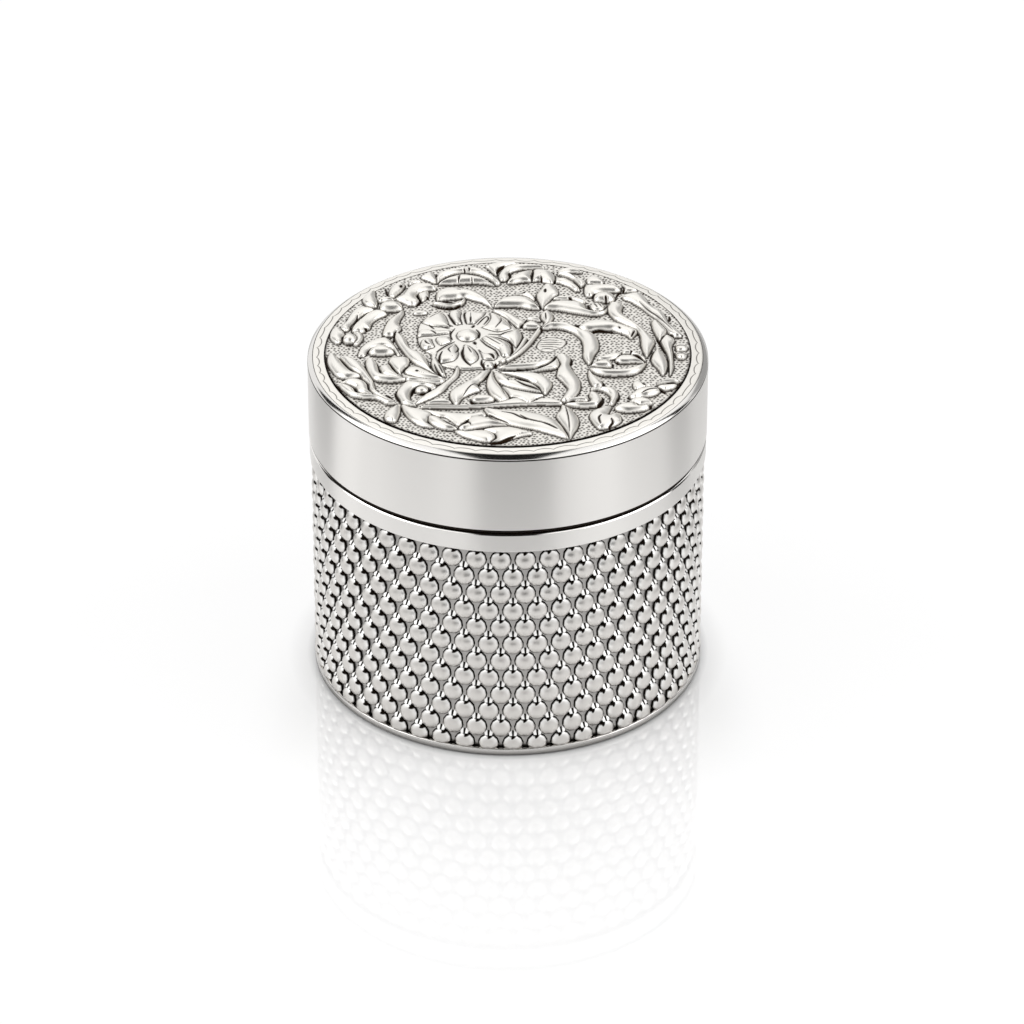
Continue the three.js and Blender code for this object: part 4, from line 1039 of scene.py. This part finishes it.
# Chased lines: half of each line's width, and points along it. First those of the hatched patch
# right of the rosette, then the rosette's, then the others'
chased_lines = [
    (0.12, (5.9, 3.6), (7.8, 4), (9.8, 3.7)),
    (0.12, (5.8, 2.9), (8, 3.1), (10.6, 2.9)),
    (0.12, (5.7, 2.1), (8, 2.3), (10.2, 2.1)),
    (0.12, (5.8, 1.3), (7.6, 1.5), (9.8, 1.2)),
    (0.12, (6.2, 0.5), (7.6, 0.7), (9, 0.4)),
    (0.2, (-9.9, 8.6), (-10.8, 11), (-11.5, 13.1)),
    (0.14, (-8.6, 8.7), (-9.4, 11.4)),
    (0.18, (-7.8, 8.8), (-8.3, 12), (-8.2, 13.6), (-7.6, 14.2)),
    (0.2, (-7.1, 9.2), (-7.1, 11.5)),
    (0.18, (-5.9, 8.6), (-4.9, 10.8), (-4, 12.4)),
    (0.18, (-4, 12.4), (-3.7, 11.2), (-4.6, 8.8)),
    (0.3, (-6.8, 7.6), (-6.4, 8.7)),
    (0.16, (-1.4, 11.6), (-1.3, 9.6), (-2.4, 7)),
    (0.2, (0, 11), (0.8, 8.6)),
    (0.2, (-3.8, 5.2), (-1.6, 5.1), (-0.6, 5.9), (0.9, 6.9)),
    (0.24, (-3.4, 4.4), (-1, 3.4), (0.6, 1.6), (0.9, -1.4), (0.4, -3.2)),
    (0.22, (-5.3, 3.2), (-4, 1), (-2.4, -0.8), (-1.6, -3)),
    (0.13, (-4.4, 4), (-3, 2.4), (-1.4, 0.6)),
    (0.13, (-3.4, 3.8), (-2, 2.6), (-0.8, 1.2)),
    (0.2, (-10.1, 7.4), (-10.9, 5), (-10.5, 3)),
    (0.22, (-6, 7), (-5.4, 5.4), (-5.5, 3.4)),
    (0.34, (-6.4, 2.4), (-6.1, 1.2)),
    (0.22, (-10, 2.4), (-12, 0.6), (-13.6, -1.4)),
    (0.26, (-12.4, -1.8), (-12.9, -3.8), (-12.8, -5.8)),
    (0.16, (-10, 0.8), (-9.4, -0.4), (-9.9, -2.4)),
    (0.16, (-10.4, 0.6), (-11.2, -1), (-10.8, -2.4)),
    (0.24, (-8.3, 0.2), (-8.7, -2), (-8.1, -4.6), (-6.9, -6.6)),
    (0.2, (-7.8, 0.8), (-6.4, -0.8), (-5.6, -3)),
    (0.14, (-7.6, -0.2), (-6.8, -2.6)),
    (0.36, (-3.8, -2.2), (-3, -3), (-2.6, -4.2)),
    (0.26, (-4.9, -4.2), (-4.9, -6), (-4.2, -7.4)),
    (0.3, (-2.3, -5.2), (-2.3, -6.8)),
    (0.22, (-14.6, 6.4), (-13.6, 5)),
    (0.18, (-15, 8.8), (-14, 7.2)),
    (0.22, (-11.6, 8.9), (-10.4, 8.1)),
    (0.16, (-12.6, 8), (-11, 7.2)),
    (0.16, (-15, 11.2), (-14.2, 12.2), (-13.2, 12.8)),
    (0.2, (-12.8, 3.6), (-12, 4), (-11.2, 3.6)),
    (0.2, (-15.8, 2.6), (-15.4, 1.6), (-14.8, 1)),
    (0.3, (-0.8, -7.8), (1.5, -7.9), (4.8, -7.35)),
    (0.22, (0, -10.9), (0.15, -12.6)),
    (0.26, (1.3, -12.4), (3, -14.1), (6.1, -15.6)),
    (0.26, (1.4, -10), (3.2, -11.3), (4.2, -12)),
    (0.16, (5, -12.8), (5.8, -14.2), (6.3, -15.7)),
    (0.2, (9, -2.6), (8.4, -4.6), (7.2, -6), (5.4, -7.2)),
    (0.26, (12, -3), (12, -4.6), (11.7, -6)),
    (0.14, (-4.6, -12.2), (-6.8, -14.4), (-8.4, -17.6)),
    (0.13, (-2, -12), (-1.2, -15), (-0.6, -17.6)),
    (0.26, (-7, -18.8), (-6.4, -19.9), (-4.6, -20.2), (-2.6, -19.6)),
    (0.24, (-14.8, -20.6), (-12.8, -20.4), (-10.8, -20.6)),
    (0.24, (0.3, -17.6), (1.6, -18.1), (3.2, -19.2)),
    (0.24, (-1.2, -24), (0.8, -24.7), (2.4, -26.1), (3.6, -27)),
    (0.22, (2.2, -25.2), (3.6, -26.6), (5.2, -27.4), (6.6, -28)),
    (0.26, (6, -27.6), (7.6, -28.7), (9.3, -30.2)),
    (0.16, (-3.6, -24), (-2, -25.8), (0.2, -27.4)),
    (0.36, (-12.9, -25), (-11.2, -26.6), (-9.3, -28.6)),
    (0.34, (-9.3, -28.6), (-8.2, -27.2), (-7.3, -25.8)),
    (0.18, (-7.5, -26), (-7.2, -27.4), (-6.8, -28.8)),
    (0.3, (-8, -30.8), (-7, -30.6), (-6.2, -30.2)),
    (0.26, (-3.6, -34), (-1.6, -34), (0.2, -32.8), (1.4, -32)),
    (0.24, (-31.8, -3.4), (-30.8, -5.6), (-29.6, -7.8), (-27.8, -9.8)),
    (0.18, (-30.2, -6.6), (-29, -8.4), (-28, -9.6)),
    (0.24, (-31, -12.9), (-29.4, -13.8), (-28.4, -15.2), (-28.2, -16.2)),
    (0.16, (-26.4, -13.2), (-26.1, -15), (-25.4, -16.4)),
    (0.3, (-22.8, -16.4), (-21.6, -17.8)),
    (0.22, (-20.8, -15), (-20.9, -17), (-20, -19.4)),
    (0.26, (-18, -17), (-17.6, -15), (-16.4, -13.9), (-15, -14.2)),
    (0.24, (-15, -14.2), (-14.5, -15.2), (-15.2, -16.3), (-16.4, -16.4)),
    (0.3, (-19.4, -7.8), (-18.8, -6.7), (-17.2, -6.6), (-15.2, -8.2)),
    (0.34, (-15.2, -8.2), (-13.4, -9.7), (-11.9, -10.7)),
    (0.2, (-22.4, -5), (-21.6, -7.2), (-20.8, -8.8)),
    (0.22, (-24.6, -5.4), (-24.3, -7)),
    (0.18, (-13.9, -6.2), (-13.3, -8.4), (-12.4, -10.2)),
    (0.18, (-13, -6.4), (-12.2, -9.6)),
    (0.3, (-17.4, -8.6), (-16.8, -9)),
    (0.2, (-21.2, 6.8), (-21.6, 4.6), (-21.8, 2.4)),
    (0.2, (-23.8, 5.4), (-23.2, 4.6), (-22.2, 3.4)),
    (0.2, (-29.8, 8), (-29.1, 10), (-28.7, 12.6)),
    (0.2, (-29.2, 9.8), (-28, 11.6), (-27.2, 13.6)),
    (0.3, (-27.4, 7.2), (-26.8, 7.6)),
    (0.26, (-31.4, 3), (-31.3, 4.4), (-30.4, 5.2)),
    (0.24, (-32, 7.6), (-31.2, 6.4), (-30.6, 5.4)),
    (0.28, (-20.8, 23), (-20.4, 24)),
    (0.22, (-23.6, 24), (-23.4, 22), (-23.2, 21)),
    (0.28, (-17.4, 21), (-17.2, 19.6), (-16.8, 18.4), (-17.6, 16.8)),
    (0.24, (-15.6, 20.2), (-15.3, 19.4)),
    (0.3, (-12.6, 18.3), (-11.2, 18.4), (-9.8, 17.9)),
    (0.22, (-14, 16.7), (-12.4, 15.9), (-10.6, 15.8), (-9, 16.8)),
    (0.18, (-9.8, 21.9), (-9, 21.7)),
    (0.2, (-9.3, 27.6), (-9.6, 25.2)),
    (0.16, (-7, 26.4), (-6.9, 25.2)),
    (0.22, (-7.5, 30.6), (-7.5, 29.6)),
    (0.22, (-8.5, 30.2), (-8.3, 29.4)),
    (0.26, (-13.8, 29.2), (-13.7, 27.6)),
    (0.22, (-0.6, 32.2), (-1.8, 30.8), (-2.2, 29.2)),
    (0.34, (0.4, 29.4), (0.3, 28.4), (0.6, 27.6)),
    (0.18, (4.8, 30.6), (4.9, 29), (4.6, 26.6)),
    (0.22, (6.6, 26), (6.4, 27.4)),
    (0.22, (9.2, 26.8), (9, 25.6)),
    (0.3, (8.4, 30.4), (8.9, 29.2)),
    (0.34, (3.2, 22), (3.1, 20.9)),
    (0.26, (5.2, 18.4), (5.8, 16.6), (6.2, 15.6)),
    (0.3, (7.2, 22.2), (7.2, 20.6)),
    (0.34, (11.7, 19.4), (12.4, 18.4)),
    (0.26, (15.4, 17.6), (15.6, 15.8), (16.4, 14.8)),
    (0.14, (16.4, 17.4), (17.2, 15.4)),
    (0.14, (17.2, 17.6), (18, 15.8)),
    (0.36, (11.6, 9.7), (13, 9.4), (14.4, 9.9)),
    (0.3, (13.2, 9.4), (13.2, 8.4)),
    (0.26, (15.8, 6.8), (18, 7.1), (20.6, 6.5)),
    (0.18, (21.1, 7.6), (21.5, 7)),
    (0.2, (24.2, 6.4), (23.4, 4.4)),
    (0.22, (2.9, 9.8), (2.5, 8.4)),
    (0.2, (3.6, 11.8), (3.2, 10.4)),
    (0.28, (6.3, 7.8), (6.4, 6.8)),
    (0.16, (7.2, 13), (7.3, 10.6)),
    (0.3, (18.8, 19.2), (18.9, 17.8)),
    (0.22, (16.8, 21.4), (16.2, 19.8)),
    (0.22, (22, 24.4), (22.4, 22.6), (21.2, 21.6), (20.8, 20)),
    (0.14, (25.2, 17.6), (27, 14.4), (28.8, 11.8), (31.4, 6.6)),
    (0.26, (26.9, 18), (27.4, 16.4)),
    (0.24, (30.9, 13.2), (31, 11)),
    (0.2, (30.8, 5.8), (31.6, 4.8)),
    (0.2, (30, 5.2), (29, 3.2)),
    (0.22, (28.2, 4.6), (29, 1.8), (29.8, -1.4)),
    (0.22, (28.4, 0.4), (27.4, -1.4), (26.8, -3.8)),
    (0.14, (31.8, 0.8), (33.8, 0.7)),
    (0.14, (31.8, -2.2), (33.8, -2.3)),
    (0.3, (20.4, -4.6), (20.9, -5.2)),
    (0.26, (20.6, -3.6), (21.4, -2.3), (23.2, -2.1)),
    (0.26, (23.2, -2.1), (23.6, -0.8)),
    (0.24, (23.4, -2.2), (24.6, -2.9), (25.8, -4.4)),
    (0.24, (19.8, -5), (19.8, -6.4)),
    (0.2, (15.4, -6.4), (17, -7.1)),
    (0.28, (17.4, -11.2), (18, -12.8), (17.7, -14.2)),
    (0.26, (17.5, -17.2), (17.8, -18.6), (17.2, -20.4), (16.6, -21.4)),
    (0.2, (20.6, -15.8), (20.8, -17.6), (20.2, -19.2)),
    (0.28, (11, -20), (12.6, -19.6)),
    (0.26, (22.4, -17.4), (22.7, -18.2)),
    (0.2, (25, -17), (26.4, -15.9), (28, -15.3)),
    (0.26, (28.2, -14.4), (29, -15.4), (29.8, -16.2)),
    (0.2, (29.4, -12.9), (31, -12.8), (32.2, -12.9)),
    (0.3, (25.3, -12.8), (25.7, -13.6)),
    (0.24, (20, -21.6), (21, -20.3), (22.6, -19.3), (24, -18.4)),
    (0.22, (22.2, -20), (23.6, -20.1), (24.6, -20.9)),
    (0.34, (26.5, -20.8), (26.6, -21.8)),
    (0.34, (18.8, -24.2), (19.2, -23.4)),
    (0.24, (17.4, -25), (16.9, -26.2), (17.2, -28.2)),
    (0.24, (19.2, -26.4), (19.4, -27.6), (18.6, -28.8)),
    (0.14, (10.7, -21.6), (11.2, -26), (11.4, -30.4)),
]
for width, *points in chased_lines:
    draw_line(width, *points)

# Punch marks: small pits in jittered rows, only where the ground is bare
bare = group == 0
pitch = 0.78
row_share = 0.87
pit_radius = 0.22
pits = np.zeros_like(height)
rows_of_pits = int(2 * plaque_radius / (pitch * row_share))
for j in range(rows_of_pits + 1):
    y = -plaque_radius + j * pitch * row_share
    for i in range(int(2 * plaque_radius / pitch) + 1):
        px = -plaque_radius + (i + 0.5 * (j % 2)) * pitch + rng.uniform(-0.2, 0.2)
        py = y + rng.uniform(-0.17, 0.17)
        if px * px + py * py > plaque_radius**2:
            continue
        c, r = int((px - lines[0]) / step), int((py - lines[0]) / step)
        if not bare[r, c]:
            continue
        area = slice(max(r - 3, 0), r + 5), slice(max(c - 3, 0), c + 5)
        d2 = (X[area] - px) ** 2 + (Y[area] - py) ** 2
        pits[area] = np.maximum(pits[area], np.exp(-((d2 / pit_radius**2) ** 1.5)))


def blurred(values, size):
    """Values softened over a distance in millimetres."""
    waves = np.fft.fftfreq(values.shape[0], step)
    fall = np.exp(-2 * (math.pi * size * waves) ** 2)
    return np.real(np.fft.ifft2(np.fft.fft2(values) * fall[:, None] * fall[None, :]))


# A chased outline is sunk round every motif. Patina fills it, and every pit and hollow.
steps_between = np.zeros(X.shape)
for shift, axis in ((1, 0), (-1, 0), (1, 1), (-1, 1)):
    steps_between = np.maximum(steps_between, np.roll(owner, shift, axis) != owner)
outline_depth = 0.1
pit_depth = 0.06
outline = np.clip(blurred(steps_between, 0.05), 0, 1)
soft = blurred(height, 0.08) - outline_depth * outline
height = soft - pit_depth * pits * bare
hollow = np.clip((blurred(height, 0.5) - height) / 0.4, 0, 1)
# Painted shade darkens the ground along the border's inner wall
shade_by_border = np.clip((np.hypot(X, Y) - 34.2) / 0.4, 0, 0.8)
recesses = 0.25 * hollow + 0.85 * outline + 1.2 * drawn
shade = np.clip(recesses + shade_by_border + bare * (pits + 0.05), 0, 1)

slope_y, slope_x = np.gradient(height, step)
normals = np.dstack([-slope_x, -slope_y, np.ones_like(height)])
normals /= np.linalg.norm(normals, axis=2)[..., None]

far = np.hypot(X, Y)
inside = far < plaque_radius + step * 0.75
cells = inside[:-1, :-1] & inside[1:, :-1] & inside[:-1, 1:] & inside[1:, 1:]
pull = np.minimum(1, plaque_radius / np.maximum(far, 1e-9))
cell_group = group[:-1, :-1]


def sheet_part(name, number):
    """The part of the chased sheet that belongs to one group of motifs."""
    mask = cells & (cell_group == number)
    j, i = np.nonzero(mask)
    across = X.shape[1]
    low = j * across + i
    high = low + across
    used, local = np.unique(np.stack([low, low + 1, high + 1, high], 1), return_inverse=True)
    grids = (X * pull, Y * pull, height + ground_level)
    co = np.stack([grid.ravel()[used] for grid in grids], 1)
    mesh = bpy.data.meshes.new(name)
    mesh.from_pydata(co / 1000, [], local.reshape(-1, 4))
    mesh.materials.append(chased_silver)
    mesh.shade_smooth()
    mesh.normals_split_custom_set_from_vertices(normals.reshape(-1, 3)[used])
    attribute = mesh.attributes.new("patina_and_shade", "FLOAT", "POINT")
    attribute.data.foreach_set("value", shade.ravel()[used].astype(np.float32))
    part = bpy.data.objects.new(name, mesh)
    bpy.context.scene.collection.objects.link(part)
    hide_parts("lid_plaque")
    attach(part, "lid")
    return part


sheet_part("lid_plaque_ground", 0)
sheet_part("lid_plaque_sprays", 1)
sheet_part("lid_plaque_wreath", 2)

# Studio. A white acrylic table, whose gloss keeps a faint mirror image of the box, stands in a
# white tent with a slit overhead. The table is toned down in front and at the sides, past the
# picture's edges, as with grey cards, so that the plain bands show soft upright stripes.
table_top = new_material("white acrylic table")
tree = table_top.node_tree
place = add_node(tree, "ShaderNodeTexCoord").outputs["Object"]
spot = add_node(tree, "ShaderNodeSeparateXYZ", {0: place}).outputs
forwards = add_node(tree, "ShaderNodeMath", {0: spot["Y"], 1: -1.0}, operation="MULTIPLY")
bearing = add_node(tree, "ShaderNodeMath", {0: spot["X"], 1: forwards}, operation="ARCTAN2")


def between(tree, value, low, high, soft_edge):
    """1 where a value lies between two limits, with soft edges."""
    steps = [
        add_node(
            tree,
            "ShaderNodeMapRange",
            {"Value": value, "From Min": limit - soft_edge, "From Max": limit + soft_edge},
            interpolation_type="SMOOTHSTEP",
        )
        for limit in (low, high)
    ]
    return add_node(tree, "ShaderNodeMath", {0: steps[0], 1: steps[1]}, operation="SUBTRACT")


tone = 0.8
for start, end, edge, change in (
    (-0.28, 0.42, 0.07, -0.7),
    (0.6, 0.98, 0.08, 0.28),
    (1.1, 1.6, 0.12, -0.16),
    (1.6, 1.95, 0.1, -0.42),
    (1.95, 3.0, 0.12, -0.17),
    (-0.6, -0.4, 0.08, 0.14),
    (-1.15, -0.65, 0.12, -0.18),
    (-1.78, -1.44, 0.06, 0.26),
    (-2.22, -1.8, 0.06, -0.46),
    (-2.8, -2.22, 0.1, -0.24),
):
    card = between(tree, bearing, start, end, edge)
    tone = add_node(
        tree, "ShaderNodeMath", {0: card, 1: change, 2: tone}, operation="MULTIPLY_ADD"
    )
sideways = add_node(tree, "ShaderNodeMath", {0: spot["X"]}, operation="ABSOLUTE")
reach = add_node(
    tree, "ShaderNodeMath", {0: spot["Y"], 1: -0.0788, 2: sideways}, operation="MULTIPLY_ADD"
)
past_sides = between(tree, reach, 0.112, 9, 0.012)
past_front = between(tree, spot["Y"], -9, -0.132, 0.011)
outside = add_node(tree, "ShaderNodeMath", {0: past_sides, 1: past_front}, operation="MAXIMUM")
# The camera never sees the cards, only the metal's reflections do, so every view has a white floor
path = add_node(tree, "ShaderNodeLightPath").outputs
unseen = add_node(
    tree, "ShaderNodeMath", {0: 1.0, 1: path["Is Camera Ray"]}, operation="SUBTRACT"
)
outside = add_node(tree, "ShaderNodeMath", {0: outside, 1: unseen}, operation="MULTIPLY")
shading = add_node(
    tree, "ShaderNodeMapRange", {"Value": outside, "To Min": 1.0, "To Max": tone}
)
# A painted shadow darkens the table round the rolled foot, where the table meets it
from_axis = add_node(tree, "ShaderNodeVectorMath", {0: place}, operation="LENGTH").outputs["Value"]
for reach, darkest in ((0.0392, 0.72), (0.043, 0.86)):
    near = add_node(
        tree,
        "ShaderNodeMapRange",
        {"Value": from_axis, "From Min": 0.0374, "From Max": reach, "To Min": darkest, "To Max": 1},
    )
    shading = add_node(tree, "ShaderNodeMath", {0: shading, 1: near}, operation="MULTIPLY")
paint = add_node(
    tree, "ShaderNodeCombineColor", {"Red": shading, "Green": shading, "Blue": shading}
)
acrylic = add_node(
    tree, "ShaderNodeBsdfPrincipled", {"Base Color": paint, "Roughness": 0.03, "IOR": 1.8}
)
# The picture's white: the camera and mirrors see it all round the shadow in front of the box
oval = add_node(
    tree,
    "ShaderNodeMapping",
    {"Vector": place, "Location": (0, 0.55, 0), "Scale": (23.8, 13.8, 0)},
)
far_out = add_node(tree, "ShaderNodeVectorMath", {0: oval}, operation="LENGTH").outputs["Value"]
open_floor = between(tree, far_out, 1.08, 999, 0.18)
seen = add_node(
    tree,
    "ShaderNodeMath",
    {0: path["Is Camera Ray"], 1: path["Is Glossy Ray"]},
    operation="MAXIMUM",
)
seen = add_node(
    tree, "ShaderNodeMath", {0: seen, 1: path["Is Transmission Ray"]}, operation="MAXIMUM"
)
whiteness = add_node(tree, "ShaderNodeMath", {0: seen, 1: open_floor}, operation="MULTIPLY")
whiteness = add_node(tree, "ShaderNodeMath", {0: whiteness, 1: 0.8}, operation="MULTIPLY")
white = add_node(tree, "ShaderNodeEmission", {"Color": paint, "Strength": 1.0})
both = add_node(tree, "ShaderNodeMixShader", {0: whiteness, 1: acrylic, 2: white})
add_node(tree, "ShaderNodeOutputMaterial", {"Surface": both})
mesh = bpy.data.meshes.new("table")
mesh.from_pydata([(-3, -3, 0), (3, -3, 0), (3, 3, 0), (-3, 3, 0)], [], [(0, 1, 2, 3)])
mesh.materials.append(table_top)
table = bpy.data.objects.new("table", mesh)
bpy.context.scene.collection.objects.link(table)
table.location.z = -0.0001

# The tent: bright at the sides and behind, greyer in front, and open in a slit over the camera
world = bpy.data.worlds.new("white tent")
world.use_nodes = True
bpy.context.scene.world = world
tree = world.node_tree
tree.nodes.clear()
way = add_node(tree, "ShaderNodeTexCoord").outputs["Generated"]
part = add_node(tree, "ShaderNodeSeparateXYZ", {0: way}).outputs
up = add_node(tree, "ShaderNodeMath", {0: part["Z"], 1: 0.02}, operation="MAXIMUM")
aside = add_node(tree, "ShaderNodeMath", {0: part["X"], 1: up}, operation="DIVIDE")
beyond = add_node(tree, "ShaderNodeMath", {0: part["Y"], 1: up}, operation="DIVIDE")
slit = add_node(
    tree,
    "ShaderNodeMath",
    {0: between(tree, aside, -0.26, 0.26, 0.05), 1: between(tree, beyond, -0.85, 0.25, 0.06)},
    operation="MULTIPLY",
)
towards_front = add_node(tree, "ShaderNodeMath", {0: part["Y"], 1: -1.0}, operation="MULTIPLY")
round_front = add_node(
    tree, "ShaderNodeMath", {0: part["X"], 1: towards_front}, operation="ARCTAN2"
)
front = add_node(
    tree,
    "ShaderNodeMath",
    {0: between(tree, round_front, -1.15, 1.15, 0.15), 1: between(tree, part["Z"], -9, 0.6, 0.08)},
    operation="MULTIPLY",
)
overhead = add_node(
    tree,
    "ShaderNodeMapRange",
    {"Value": part["Z"], "From Min": 0.5, "From Max": 0.66, "To Min": 1.05, "To Max": 1.25},
)
cloth = add_node(
    tree, "ShaderNodeMapRange", {"Value": front, "To Min": overhead, "To Max": 0.8}
)
# Two dark uprights of the tent's frame, behind the box to its left and right
for bearing in (-2.18, 2.0):
    post = add_node(
        tree,
        "ShaderNodeMath",
        {
            0: between(tree, round_front, bearing - 0.14, bearing + 0.14, 0.03),
            1: between(tree, part["Z"], 0.34, 0.77, 0.05),
        },
        operation="MULTIPLY",
    )
    cloth = add_node(
        tree, "ShaderNodeMapRange", {"Value": post, "To Min": cloth, "To Max": 0.01}
    )
# A grey card behind the box to its right, which shades the slopes of the relief that face it
card = add_node(
    tree,
    "ShaderNodeMath",
    {0: between(tree, round_front, 2.2, 3.02, 0.08), 1: between(tree, part["Z"], 0.02, 0.48, 0.04)},
    operation="MULTIPLY",
)
cloth = add_node(tree, "ShaderNodeMapRange", {"Value": card, "To Min": cloth, "To Max": 0.42})
glow = add_node(tree, "ShaderNodeMapRange", {"Value": slit, "To Min": cloth, "To Max": 0.01})
# The camera sees plain white where the tent is, and only the metal sees its cards and slit
path = add_node(tree, "ShaderNodeLightPath").outputs
glow = add_node(
    tree, "ShaderNodeMapRange", {"Value": path["Is Camera Ray"], "To Min": glow, "To Max": 1.0}
)
light = add_node(tree, "ShaderNodeBackground", {"Color": colour("#FFFFFF"), "Strength": glow})
add_node(tree, "ShaderNodeOutputWorld", {"Surface": light})

# Two softboxes light the box from its left and right, turned towards it
for name, x in (("left softbox", -0.75), ("right softbox", 0.75)):
    lamp = bpy.data.lights.new(name, "AREA")
    lamp.shape = "RECTANGLE"
    lamp.size = 0.5
    lamp.size_y = 0.8
    lamp.energy = 2.0
    softbox = bpy.data.objects.new(name, lamp)
    bpy.context.scene.collection.objects.link(softbox)
    softbox.location = (x, -0.1, 0.75)
    softbox.rotation_euler = (0, math.atan2(x, 0.72), 0)

# The camera, fitted to the ellipses of the lid, the seam and the foot in the photo
camera_data = bpy.data.cameras.new("camera")
camera_data.sensor_width = 36
camera_data.lens = 194.63
camera_data.shift_x = 0.00408
camera = bpy.data.objects.new("camera", camera_data)
bpy.context.scene.collection.objects.link(camera)
camera.location = (0, -0.90677, 0.59473)
camera.rotation_euler = (math.radians(90 - 31.865), 0, 0)
bpy.context.scene.camera = camera
bpy.context.scene.view_settings.view_transform = "Standard"
